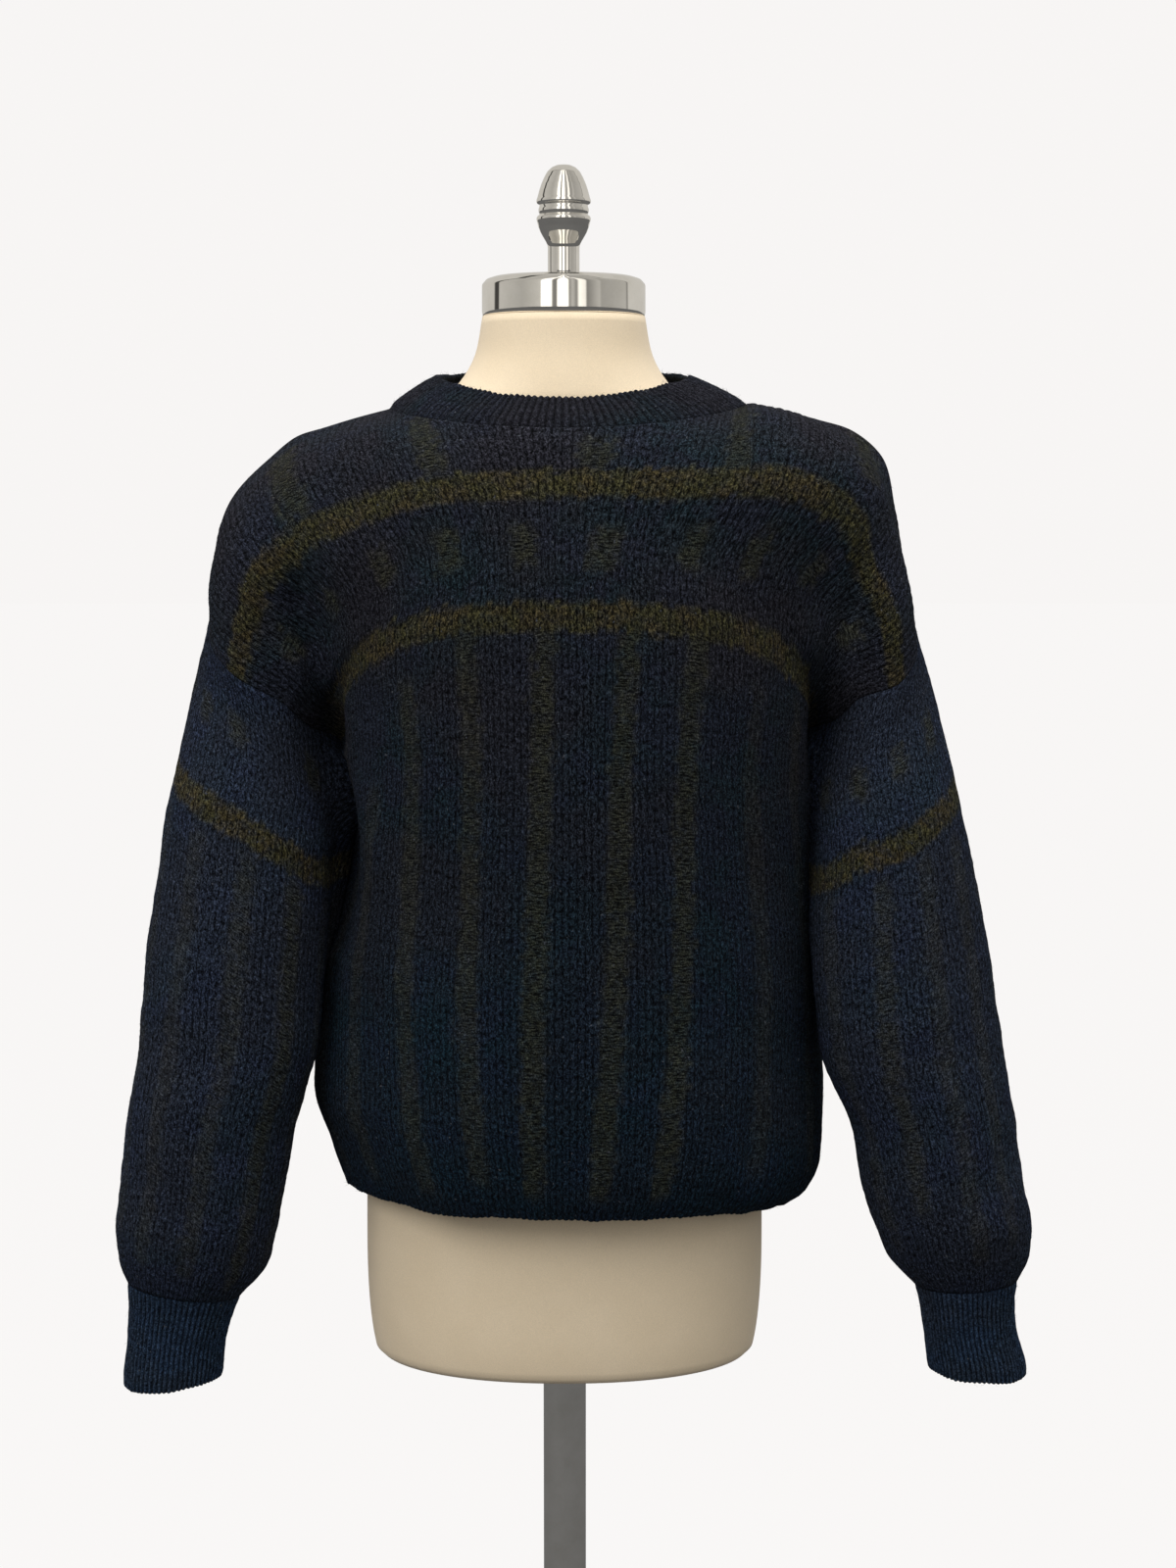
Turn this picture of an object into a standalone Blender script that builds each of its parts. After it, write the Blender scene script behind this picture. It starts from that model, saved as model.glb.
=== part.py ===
# A crew-neck pullover in thick soft wool, worn by a limbless dress form on a stand.
# Metres, +Z up. The front of the garment faces -Y, so the wearer's left side is at +X.
# The origin lies on the floor, in the middle of the stand's underside.
import math

import bmesh
import bpy
import numpy as np

NAME = "wool_sweater_on_form"

# Cloth
WALL = 0.003            # thickness of the knit
SEAM_GAP = 0.00045      # open line between two pieces that are sewn together
RIB_HEIGHT = 0.0013     # how far a rib stands out of a neckband or cuff

# Body panels. A course is a row of stitches, named by its distance up from the hem.
UNDERARM = 0.43         # course at which the side seam ends
YOKE = 0.52             # course of the upper stripe across the chest
NECK_SHARE = 0.38       # share of half a panel's width that lies under the neckband
DROOP_POWER = 2.3       # how late a course starts to sag towards the side seam
SHOULDER_BULGE = 1.4    # swell of the shoulder over a straight line, per metre squared
BACK_CENTRE = 0.88      # depth of the back at its middle, as a share of the front's

BODY_COLUMNS = ("course", "centre_z", "right_drop", "left_drop", "right_half", "left_half",
                "front", "back", "side_y", "roundness")
BODY_ROWS = (
    (0.000, 0.8350, 0.002, 0.020, 0.160, 0.168, 0.146, 0.134, 0.000, 2.2),
    (0.012, 0.8440, 0.003, 0.022, 0.164, 0.181, 0.152, 0.140, 0.000, 2.2),
    (0.035, 0.8660, 0.004, 0.021, 0.173, 0.191, 0.157, 0.145, 0.005, 2.2),
    (0.080, 0.9080, 0.005, 0.022, 0.1885, 0.195, 0.160, 0.147, 0.018, 2.15),
    (0.150, 0.9770, 0.015, 0.028, 0.1865, 0.1945, 0.159, 0.146, 0.035, 2.05),
    (0.240, 1.0660, 0.030, 0.036, 0.180, 0.190, 0.157, 0.142, 0.030, 2.0),
    (0.330, 1.1560, 0.055, 0.055, 0.1700, 0.1825, 0.154, 0.136, 0.009, 2.1),
    (0.430, 1.2553, 0.095, 0.090, 0.165, 0.178, 0.1485, 0.130, 0.000, 2.4),
)

# Rows above the underarm run from the middle of the chest over the fold in front of the
# arm and down the arm to the armhole seam. Each place is (out, forward, up).
ARM_ROWS = {
    "right": (
        (0.452, ((0.000, 0.1460, 1.278), (0.098, 0.127, 1.267), (0.145, 0.092, 1.246),
                 (0.164, 0.068, 1.220), (0.174, 0.052, 1.192), (0.183, 0.036, 1.170))),
        (0.475, ((0.000, 0.1428, 1.300), (0.100, 0.124, 1.290), (0.147, 0.094, 1.268),
                 (0.173, 0.064, 1.238), (0.187, 0.066, 1.212), (0.199, 0.060, 1.188))),
        (0.520, ((0.000, 0.1335, 1.345), (0.097, 0.120, 1.340), (0.150, 0.095, 1.324),
                 (0.190, 0.077, 1.304), (0.2155, 0.070, 1.279), (0.226, 0.068, 1.248),
                 (0.2335, 0.065, 1.2086))),
    ),
    "left": (
        (0.452, ((0.000, 0.1460, 1.278), (0.100, 0.1285, 1.270), (0.150, 0.096, 1.256),
                 (0.176, 0.070, 1.232), (0.187, 0.052, 1.200), (0.196, 0.036, 1.175))),
        (0.475, ((0.000, 0.1428, 1.300), (0.100, 0.1255, 1.295), (0.152, 0.098, 1.283),
                 (0.185, 0.067, 1.256), (0.200, 0.067, 1.222), (0.2105, 0.060, 1.192))),
        (0.520, ((0.000, 0.1335, 1.345), (0.100, 0.121, 1.346), (0.1665, 0.098, 1.3435),
                 (0.2033, 0.076, 1.321), (0.2176, 0.068, 1.2816), (0.2308, 0.067, 1.2545),
                 (0.238, 0.064, 1.2025))),
    ),
}

# Shoulder seam from the neck point to the top of the armhole, as (out, up).
SHOULDER = {
    "right": ((0.1270, 1.3996), (0.152, 1.393), (0.175, 1.386), (0.194, 1.380),
              (0.2135, 1.365), (0.2444, 1.332), (0.257, 1.289), (0.2596, 1.2513)),
    "left": ((0.1330, 1.4030), (0.1588, 1.3985), (0.1847, 1.392), (0.211, 1.3835),
             (0.2315, 1.366), (0.2423, 1.327), (0.250, 1.280), (0.2567, 1.2456)),
}

# Neckband rings
NECK_BASE = {"front": 0.115, "back": 0.105, "front_z": 1.3836, "back_z": 1.403}
NECK_TOP = {"half": 0.092, "front": 0.088, "back": 0.078, "side_z": 1.4225,
            "front_z": 1.405, "back_z": 1.431}
NECK_LEVELS = (0.0, 0.12, 0.90, 1.0)        # shares of the band's height
NECK_RIB = (0.0, 1.0, 1.0, 0.5)             # rib height at those levels
NECK_SWELL = 0.003                          # outward roll at mid height
NECK_STEPS = 8                              # points for each neckline edge, two a rib
NECK_INNER = 4                              # outer points for each inner point

# Sleeves: rings from below the armhole to the cuff seam. Tilt is how much higher the
# outer side of a ring lies than its inner side.
SLEEVE_COLUMNS = ("z", "out", "forward", "half_width", "half_depth", "tilt")
SLEEVE_ROWS = {
    "right": (
        (1.1600, 0.2210, 0.000, 0.0505, 0.0740, 0.075),
        (1.1000, 0.2288, 0.030, 0.0576, 0.0690, 0.025),
        (1.0560, 0.2327, 0.041, 0.0612, 0.0660, 0.010),
        (0.9900, 0.2390, 0.050, 0.0653, 0.0640, 0.004),
        (0.9400, 0.2431, 0.055, 0.0660, 0.0620, 0.000),
        (0.8840, 0.2552, 0.058, 0.0606, 0.0600, 0.000),
        (0.8400, 0.2614, 0.060, 0.0585, 0.0570, 0.002),
        (0.8030, 0.2681, 0.060, 0.0561, 0.0530, 0.006),
        (0.7820, 0.2720, 0.060, 0.0520, 0.0470, 0.010),
        (0.7620, 0.2775, 0.060, 0.0416, 0.0360, 0.012),
    ),
    "left": (
        (1.1600, 0.2268, 0.000, 0.0432, 0.0740, 0.070),
        (1.1000, 0.2348, 0.030, 0.0526, 0.0700, 0.025),
        (1.0560, 0.2399, 0.041, 0.0581, 0.0670, 0.010),
        (1.0120, 0.2442, 0.047, 0.0626, 0.0650, 0.006),
        (0.9690, 0.2487, 0.052, 0.0655, 0.0640, 0.004),
        (0.9310, 0.2540, 0.056, 0.0668, 0.0620, 0.000),
        (0.8840, 0.2679, 0.058, 0.0602, 0.0600, 0.000),
        (0.8440, 0.2756, 0.060, 0.0585, 0.0570, 0.002),
        (0.8090, 0.2847, 0.060, 0.0550, 0.0530, 0.004),
        (0.7890, 0.2886, 0.060, 0.0501, 0.0460, 0.004),
        (0.7670, 0.2940, 0.060, 0.0379, 0.0350, 0.005),
    ),
}
SLEEVE_RINGS = 13           # rings along a sleeve
ARMHOLE_MIDDLE = 1.2057     # height of the middle of the armhole seam
UNDERARM_REACH = 0.04       # how far round an underarm the cloth turns to face down

# Cuffs: lower rings, in the same columns as the sleeves.
CUFF_ROWS = {
    "right": (
        (0.7580, 0.2781, 0.060, 0.0402, 0.0345, 0.011),
        (0.7250, 0.2838, 0.060, 0.0355, 0.0310, 0.003),
        (0.6970, 0.2866, 0.060, 0.0352, 0.0310, -0.005),
        (0.6930, 0.2870, 0.060, 0.0348, 0.0306, -0.006),
    ),
    "left": (
        (0.7630, 0.2942, 0.060, 0.0364, 0.0340, 0.005),
        (0.7330, 0.2965, 0.060, 0.0334, 0.0305, 0.001),
        (0.7035, 0.3021, 0.060, 0.0347, 0.0310, -0.004),
        (0.6995, 0.3024, 0.060, 0.0343, 0.0306, -0.004),
    ),
}
CUFF_RIB = (0.0, 1.0, 1.0, 1.0, 0.5)        # rib height on each ring
CUFF_STEPS = 4                              # points for each cloth edge, two a rib
CUFF_INNER = 2                              # outer points for each inner point

# Grid shares: across half a panel from the middle out, and up the panel.
NECK_EDGES = 6
OUTER_SHARES = (0.445, 0.51, 0.575, 0.64, 0.70, 0.76, 0.82, 0.88, 0.94, 1.0)
COURSES = (0.0, 0.012, 0.035, 0.08, 0.135, 0.19, 0.25, 0.31, 0.37, 0.43,
           0.442, 0.455, 0.470, 0.492, 0.52)
YOKE_STEPS = 5

# Dress form
FORM_COLUMNS = ("z", "half", "front", "back")
FORM_ROWS = (
    (0.700, 0.1380, 0.095, 0.102),
    (0.704, 0.1420, 0.099, 0.106),
    (0.780, 0.1480, 0.106, 0.116),
    (0.860, 0.1470, 0.108, 0.114),
    (0.940, 0.1400, 0.104, 0.100),
    (1.020, 0.1390, 0.104, 0.094),
    (1.110, 0.1440, 0.112, 0.098),
    (1.200, 0.1480, 0.118, 0.104),
    (1.270, 0.1620, 0.114, 0.104),
    (1.330, 0.1820, 0.098, 0.094),
    (1.358, 0.1860, 0.083, 0.081),
    (1.3752, 0.1750, 0.074, 0.070),
    (1.3823, 0.1600, 0.072, 0.067),
    (1.3894, 0.1400, 0.070, 0.066),
    (1.3980, 0.1100, 0.069, 0.067),
    (1.405, 0.0920, 0.069, 0.070),
    (1.420, 0.0745, 0.066, 0.067),
    (1.441, 0.0635, 0.0615, 0.0625),
    (1.4655, 0.0590, 0.0590, 0.0590),
)
FORM_POINTS = 28
FORM_ROUNDNESS = 2.15
PART_GAP = 0.0003
CAP_PROFILE = ((0.0, 1.4945), (0.050, 1.4940), (0.0560, 1.4922), (0.0592, 1.4885),
               (0.0593, 1.4690), (0.0588, 1.4658), (0.0, 1.4658))
FINIAL_PROFILE = ((0.0, 1.5740), (0.0086, 1.5720), (0.0140, 1.5650), (0.0175, 1.5570),
                  (0.0196, 1.5490), (0.0196, 1.5470), (0.0176, 1.5450), (0.0176, 1.5380),
                  (0.0196, 1.5365), (0.0196, 1.5340), (0.0180, 1.5290), (0.0150, 1.5225),
                  (0.0118, 1.5170), (0.0115, 1.4948), (0.0, 1.4948))
POLE_RADIUS = 0.016
POLE_FROM = 0.0243
BASE_PROFILE = ((0.0, 0.0240), (0.045, 0.0240), (0.060, 0.0190), (0.150, 0.0120),
                (0.165, 0.0090), (0.170, 0.0040), (0.168, 0.0), (0.0, 0.0))
LATHE_STEPS = 28


def clear_scene():
    for thing in list(bpy.data.objects):
        bpy.data.objects.remove(thing, do_unlink=True)


def new_collection(name):
    group = bpy.data.collections.new(name)
    bpy.context.scene.collection.children.link(group)
    return group


def material(name, colour, roughness, metallic=0.0):
    paint = bpy.data.materials.new(name)
    paint.use_nodes = True
    surface = paint.node_tree.nodes["Principled BSDF"]
    surface.inputs["Base Color"].default_value = (*colour, 1.0)
    surface.inputs["Roughness"].default_value = roughness
    surface.inputs["Metallic"].default_value = metallic
    paint.diffuse_color = (*colour, 1.0)
    return paint


# A smooth line through values at knots, read at the places asked for. A steady line never
# swings past the values on either side.
def smooth(knots, values, places, steady=False):
    knots = np.asarray(knots, float)
    values = np.asarray(values, float)
    places = np.asarray(places, float)
    steps = np.diff(knots)
    slopes = np.diff(values, axis=0) / steps[:, None]
    tangents = np.empty_like(values)
    tangents[0] = slopes[0]
    tangents[-1] = slopes[-1]
    before = steps[:-1, None]
    after = steps[1:, None]
    if steady:
        same_way = slopes[:-1] * slopes[1:] > 0
        low = np.where(same_way, slopes[:-1], 1.0)
        high = np.where(same_way, slopes[1:], 1.0)
        mean = 3 * (before + after) / ((2 * after + before) / low + (after + 2 * before) / high)
        tangents[1:-1] = np.where(same_way, mean, 0.0)
    else:
        tangents[1:-1] = (slopes[:-1] * after + slopes[1:] * before) / (before + after)
    i = np.clip(np.searchsorted(knots, places, side="right") - 1, 0, len(knots) - 2)
    step = steps[i][:, None]
    u = ((places - knots[i]) / steps[i])[:, None]
    start = values[i] * (1 + 2 * u) * (1 - u) ** 2 + tangents[i] * step * u * (1 - u) ** 2
    end = values[i + 1] * u ** 2 * (3 - 2 * u) + tangents[i + 1] * step * u ** 2 * (u - 1)
    return start + end


# Points at shares of the length of a smooth line through the given points. A line that
# starts at the middle of the body runs level there, as its mirror image goes on from it.
def along(points, shares, mirrored=False):
    points = np.asarray(points, float)
    if mirrored:
        points = np.vstack([points[1] * (-1, 1, 1), points])
    chord = np.r_[0, np.cumsum(np.linalg.norm(np.diff(points, axis=0), axis=1))]
    fine = smooth(chord, points, np.linspace(chord[int(mirrored)], chord[-1], 240))
    length = np.r_[0, np.cumsum(np.linalg.norm(np.diff(fine, axis=0), axis=1))]
    places = np.asarray(shares) * length[-1]
    return np.stack([np.interp(places, length, fine[:, axis]) for axis in range(3)], axis=1)


def unit(vectors):
    return vectors / np.maximum(np.linalg.norm(vectors, axis=-1, keepdims=True), 1e-12)


# Turn round the neck, 0 at the middle and 90 degrees at the neck point, and the share of
# half a panel at which each of those turns is met.
def neck_turns(count):
    turns = np.linspace(0, math.pi / 2, count + 1)
    shares = NECK_SHARE * (0.5 * np.sin(turns) + 0.5 * turns / (math.pi / 2))
    return turns, shares


def neck_base(side, face, turns):
    neck_out, neck_up = SHOULDER[side][0]
    up = neck_up + (NECK_BASE[face + "_z"] - neck_up) * np.cos(turns) ** 1.5
    return np.stack([neck_out * np.sin(turns), NECK_BASE[face] * np.cos(turns), up], axis=1)


# One course of half a body panel below the underarm, as (out, forward, up).
def body_course(row, side, face, shares):
    cell = dict(zip(BODY_COLUMNS, row))
    turns = np.linspace(0, math.pi / 2, 9)
    power = 2 / cell["roundness"]
    seam = -cell["side_y"] if face == "front" else cell["side_y"]
    out = cell[side + "_half"] * np.sin(turns) ** power
    forward = seam + (cell[face] - seam) * np.maximum(np.cos(turns), 0) ** power
    forward[-1] = seam
    up = cell["centre_z"] - cell[side + "_drop"] * (turns / (math.pi / 2)) ** DROOP_POWER
    return along(np.stack([out, forward, up], axis=1), shares, mirrored=True)


# One course of half a panel above the underarm.
def arm_course(places, face, shares):
    points = along(places, shares, mirrored=True)
    if face == "back":
        points[:, 1] *= BACK_CENTRE + (1 - BACK_CENTRE) * np.asarray(shares)
    return points


# Half a body panel, as [column][row] of (out, forward, up).
def half_panel(side, face):
    turns, neck_shares = neck_turns(NECK_EDGES)
    shares = np.r_[neck_shares, OUTER_SHARES]
    knots = [row[0] for row in BODY_ROWS] + [row[0] for row in ARM_ROWS[side]]
    keys = [body_course(row, side, face, shares) for row in BODY_ROWS]
    keys += [arm_course(places, face, shares) for course, places in ARM_ROWS[side]]
    ridge = [(out, 0.0, up) for out, up in SHOULDER[side]]
    ridge_shares = (np.asarray(OUTER_SHARES) - NECK_SHARE) / (1 - NECK_SHARE)
    top = np.vstack([neck_base(side, face, turns), along(ridge, ridge_shares)])
    top[NECK_EDGES] = ridge[0]
    yoke = keys[-1]
    chord = top - yoke
    length = np.linalg.norm(chord, axis=1, keepdims=True)
    course_way = np.gradient(yoke, axis=0)
    outward = unit(np.cross(chord, course_way))
    middle = (yoke + top) / 2 + outward * SHOULDER_BULGE * length ** 2
    lower = np.linalg.norm(middle - yoke, axis=1)
    upper = np.linalg.norm(top - middle, axis=1)
    columns = []
    for i in range(len(shares)):
        line = [key[i] for key in keys] + [middle[i], top[i]]
        ends = [YOKE + lower[i], YOKE + lower[i] + upper[i]]
        rise = YOKE + (ends[1] - YOKE) * np.arange(1, YOKE_STEPS + 1) / YOKE_STEPS
        columns.append(smooth(knots + ends, line, np.r_[COURSES, rise], steady=True))
    corner = len(BODY_ROWS)
    first = COURSES.index(UNDERARM) + 1
    columns[-1][:first] = smooth(knots[:corner], line[:corner], COURSES[:first], steady=True)
    columns[-1][first:] = smooth((knots + ends)[corner - 1:], line[corner - 1:],
                                 np.r_[COURSES, rise][first:], steady=True)
    return np.asarray(columns)


# A whole panel in world places: the right half, then the left half, both seen from outside.
def panel(face):
    forward = -1.0 if face == "front" else 1.0
    right = half_panel("right", face) * (-1.0, forward, 1.0)
    left = half_panel("left", face) * (1.0, forward, 1.0)
    grid = np.concatenate([right[::-1], left[1:]])
    return grid if face == "front" else grid[::-1]


def sleeve_ring(row, sign, angles):
    cell = dict(zip(SLEEVE_COLUMNS, row))
    across = -np.cos(angles)
    out = sign * (cell["out"] + cell["half_width"] * across)
    forward = -cell["forward"] - cell["half_depth"] * np.sin(angles)
    up = cell["z"] + cell["tilt"] / 2 * across
    return np.stack([out, forward, up], axis=1)


# Armhole ring: from the underarm over the front edge to the shoulder and back behind.
def armhole(front, back, side):
    first = COURSES.index(UNDERARM)
    before = front[0 if side == "right" else -1][first:]
    behind = back[-1 if side == "right" else 0][first:]
    return np.concatenate([before, behind[-2:0:-1]])


def sleeve(ring, side):
    sign = -1.0 if side == "right" else 1.0
    angles = np.arange(len(ring)) * 2 * math.pi / len(ring)
    rows = SLEEVE_ROWS[side]
    keys = [ring] + [sleeve_ring(row, sign, angles) for row in rows]
    knots = [0.0] + [ARMHOLE_MIDDLE - row[0] for row in rows]
    places = list(np.linspace(0, knots[-3], SLEEVE_RINGS - 2)) + knots[-2:]
    columns = [smooth(knots, [key[i] for key in keys], places) for i in range(len(ring))]
    return np.asarray(columns)


# The neckband's smooth outside, from the neckline to its free edge.
def neckband_rows(base, steps):
    count = len(base) * steps
    edge = np.arange(count) / steps
    closed = np.vstack([base, base[:1]])
    low = np.stack([np.interp(edge, np.arange(len(closed)), closed[:, k]) for k in range(3)], axis=1)
    turn = edge / len(base) * 2 * math.pi - math.pi / 2
    ahead = np.cos(turn)
    depth = np.where(ahead > 0, NECK_TOP["front"], NECK_TOP["back"])
    end = np.where(ahead > 0, NECK_TOP["front_z"], NECK_TOP["back_z"])
    up = NECK_TOP["side_z"] + (end - NECK_TOP["side_z"]) * np.abs(ahead) ** 1.5
    high = np.stack([NECK_TOP["half"] * np.sin(turn), -depth * ahead, up], axis=1)
    outward = unit(np.stack([np.sin(turn), -ahead, 0.6 + 0 * turn], axis=1))
    swell = NECK_SWELL * 4
    return np.asarray([low + (high - low) * level + outward * swell * level * (1 - level)
                       for level in NECK_LEVELS])


def cuff_rows(base, side, steps):
    sign = -1.0 if side == "right" else 1.0
    count = len(base) * steps
    edge = np.arange(count) / steps
    closed = np.vstack([base, base[:1]])
    first = np.stack([np.interp(edge, np.arange(len(closed)), closed[:, k]) for k in range(3)], axis=1)
    angles = edge / len(base) * 2 * math.pi
    return np.asarray([first] + [sleeve_ring(row, sign, angles) for row in CUFF_ROWS[side]])


# Outward directions of a grid of points, [column][row]; a ring grid closes on itself.
def face_normals(grid, ring):
    right = np.roll(grid, -1, axis=0) if ring else grid[1:]
    left = grid if ring else grid[:-1]
    return np.cross(right[:, 1:] - left[:, :-1], left[:, 1:] - right[:, :-1])


# Directions shared by every grid at places where grids meet. The underarms open downwards.
def shared_normals(grids, underarms):
    total = {}
    for grid, ring, sign in grids:
        faces = face_normals(grid, ring) * sign
        for (i, j), ignored in np.ndenumerate(faces[..., 0]):
            for column in (i, (i + 1) % len(grid)):
                for row in (j, j + 1):
                    key = tuple(np.round(grid[column, row], 6))
                    total[key] = total.get(key, 0) + faces[i, j]
    for key in total:
        near = min(math.dist(key, place) for place in underarms)
        share = max(0.0, 1 - near / UNDERARM_REACH)
        total[key] = unit(total[key]) * (1 - share) + np.array((0.0, 0.0, -share))
    result = []
    for grid, ring, sign in grids:
        found = np.empty_like(grid)
        for index in np.ndindex(grid.shape[:2]):
            found[index] = total[tuple(np.round(grid[index], 6))]
        result.append(unit(found))
    return result


# Small moves that draw the marked edges of a grid back from their seams.
def seam_moves(grid, normals, ring, first_row, last_row, sides):
    moves = np.zeros_like(grid)
    edges = []
    if first_row:
        edges.append(((slice(None), 0), (slice(None), 1), ring))
    if last_row:
        edges.append(((slice(None), -1), (slice(None), -2), ring))
    if sides:
        edges.append(((0, slice(None)), (1, slice(None)), False))
        edges.append(((-1, slice(None)), (-2, slice(None)), False))
    for edge, inside, closed in edges:
        line = grid[edge]
        if closed:
            way = np.roll(line, -1, axis=0) - np.roll(line, 1, axis=0)
        else:
            way = np.gradient(line, axis=0)
        across = unit(np.cross(normals[edge], way))
        turn = np.sign(np.sum(across * (grid[inside] - line), axis=1, keepdims=True))
        moves[edge] += across * turn * SEAM_GAP / 2
    return moves


def mesh_object(name, points, faces, paint, group, shade=True):
    mesh = bpy.data.meshes.new(name)
    mesh.from_pydata([tuple(point) for point in points], [], faces)
    body = bpy.data.objects.new(name, mesh)
    group.objects.link(body)
    mesh.materials.append(paint)
    work = bmesh.new()
    work.from_mesh(mesh)
    bmesh.ops.recalc_face_normals(work, faces=work.faces)
    work.to_mesh(mesh)
    work.free()
    if shade:
        for face in mesh.polygons:
            face.use_smooth = True
    return body


# Two triangles over the thickness at a seam, split the same way on both of its sides.
def edge_faces(points, a, b, c, d):
    if np.linalg.norm(points[a] - points[c]) < np.linalg.norm(points[b] - points[d]):
        return [(a, b, c), (a, c, d)]
    return [(a, b, d), (b, c, d)]


# A closed wall between an outer and an inner grid of the same size.
def wall_object(name, outer, inner, ring, paint, group):
    columns, rows = outer.shape[:2]
    points = np.concatenate([outer.reshape(-1, 3), inner.reshape(-1, 3)])
    size = columns * rows
    faces = []
    last = columns if ring else columns - 1
    for i in range(last):
        k = (i + 1) % columns
        for j in range(rows - 1):
            a, b, c, d = i * rows + j, k * rows + j, k * rows + j + 1, i * rows + j + 1
            faces.append((a, b, c, d))
            faces.append((a + size, d + size, c + size, b + size))
        for j in (0, rows - 1):
            a, b = i * rows + j, k * rows + j
            faces += edge_faces(points, a, b, b + size, a + size)
    if not ring:
        for i in (0, columns - 1):
            for j in range(rows - 1):
                a = i * rows + j
                faces += edge_faces(points, a, a + 1, a + 1 + size, a + size)
    return mesh_object(name, points, faces, paint, group)


# A closed ribbed ring: many points outside, fewer inside, joined by fans at both edges.
def ribbed_object(name, outer, inner, share, paint, group):
    rows, count = outer.shape[:2]
    inner_rows, inner_count = inner.shape[:2]
    points = np.concatenate([outer.reshape(-1, 3), inner.reshape(-1, 3)])
    size = rows * count
    faces = []
    for j in range(rows - 1):
        for i in range(count):
            k = (i + 1) % count
            faces.append((j * count + i, j * count + k, (j + 1) * count + k, (j + 1) * count + i))
    for j in range(inner_rows - 1):
        for i in range(inner_count):
            k = (i + 1) % inner_count
            low = size + j * inner_count
            faces.append((low + i, low + inner_count + i, low + inner_count + k, low + k))
    for out_start, in_start in ((0, size), ((rows - 1) * count, size + (inner_rows - 1) * inner_count)):
        for m in range(inner_count):
            near = in_start + m
            far = in_start + (m + 1) % inner_count
            for step in range(share):
                a = out_start + m * share + step
                b = out_start + (m * share + step + 1) % count
                faces.append((a, b, near if step < share / 2 else far))
            middle = out_start + m * share + (share + 1) // 2
            faces.append((near, far, middle))
    return mesh_object(name, points, faces, paint, group)


# Outward directions of ring rows, [row][point], turned away from the rows' own middle.
def ring_normals(rows):
    around = np.roll(rows, -1, axis=1) - np.roll(rows, 1, axis=1)
    along_rows = np.gradient(rows, axis=0)
    found = unit(np.cross(around, along_rows))
    middle = rows.mean(axis=1, keepdims=True)
    turn = np.sign(np.sum(found * (rows - middle), axis=2).mean())
    return found * turn


# A ribbed band that starts on a seam line shared with another piece.
def ribbed_band(name, rows, seam_normals, steps, share, rib, paint, group, inner_rows):
    normals = ring_normals(rows)
    closed = np.vstack([seam_normals, seam_normals[:1]])
    edge = np.arange(rows.shape[1]) / steps
    normals[0] = np.stack([np.interp(edge, np.arange(len(closed)), closed[:, k]) for k in range(3)], axis=1)
    away = unit(rows[1] - rows[0])
    rows = rows.copy()
    rows[0] += away * SEAM_GAP / 2
    crest = np.where(np.arange(rows.shape[1]) % 2 == 1, 1.0, 0.0)
    height = np.asarray(rib)[:, None, None] * crest[None, :, None] * RIB_HEIGHT
    outer = rows + normals * height
    inner = (rows - normals * WALL)[inner_rows, ::share]
    return ribbed_object(name, outer, inner, share, paint, group)


def form_torso(paint, group):
    angles = np.arange(FORM_POINTS) * 2 * math.pi / FORM_POINTS
    points = []
    for row in FORM_ROWS:
        cell = dict(zip(FORM_COLUMNS, row))
        for angle in angles:
            across, ahead = math.sin(angle), math.cos(angle)
            depth = cell["front"] if ahead > 0 else cell["back"]
            power = 2 / FORM_ROUNDNESS
            out = cell["half"] * math.copysign(abs(across) ** power, across)
            forward = depth * math.copysign(abs(ahead) ** power, ahead)
            points.append((out, -forward, cell["z"]))
    faces = [tuple(range(FORM_POINTS))]
    last = (len(FORM_ROWS) - 1) * FORM_POINTS
    faces.append(tuple(range(last, last + FORM_POINTS)))
    for j in range(len(FORM_ROWS) - 1):
        for i in range(FORM_POINTS):
            k = (i + 1) % FORM_POINTS
            a, b = j * FORM_POINTS + i, j * FORM_POINTS + k
            faces.append((a, b, b + FORM_POINTS, a + FORM_POINTS))
    return mesh_object("form_torso", points, faces, paint, group)


# A turned piece from a profile of (radius, z), read from its top down.
def turned(name, profile, paint, group):
    mesh = bpy.data.meshes.new(name)
    points = [(radius, 0.0, z) for radius, z in profile]
    edges = [(i, i + 1) for i in range(len(points) - 1)]
    mesh.from_pydata(points, edges, [])
    body = bpy.data.objects.new(name, mesh)
    group.objects.link(body)
    mesh.materials.append(paint)
    screw = body.modifiers.new("turn", "SCREW")
    screw.steps = LATHE_STEPS
    screw.render_steps = LATHE_STEPS
    screw.use_merge_vertices = True
    screw.merge_threshold = 0.00001
    screw.use_normal_calculate = True
    return body


def form_pole(paint, group):
    top = FORM_ROWS[0][0] - PART_GAP
    bpy.ops.mesh.primitive_cylinder_add(vertices=LATHE_STEPS, radius=POLE_RADIUS, depth=top - POLE_FROM,
                                        location=(0, 0, (top + POLE_FROM) / 2))
    body = bpy.context.object
    body.name = "form_pole"
    body.data.name = "form_pole"
    for owner in list(body.users_collection):
        owner.objects.unlink(body)
    group.objects.link(body)
    body.data.materials.append(paint)
    return body


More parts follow.
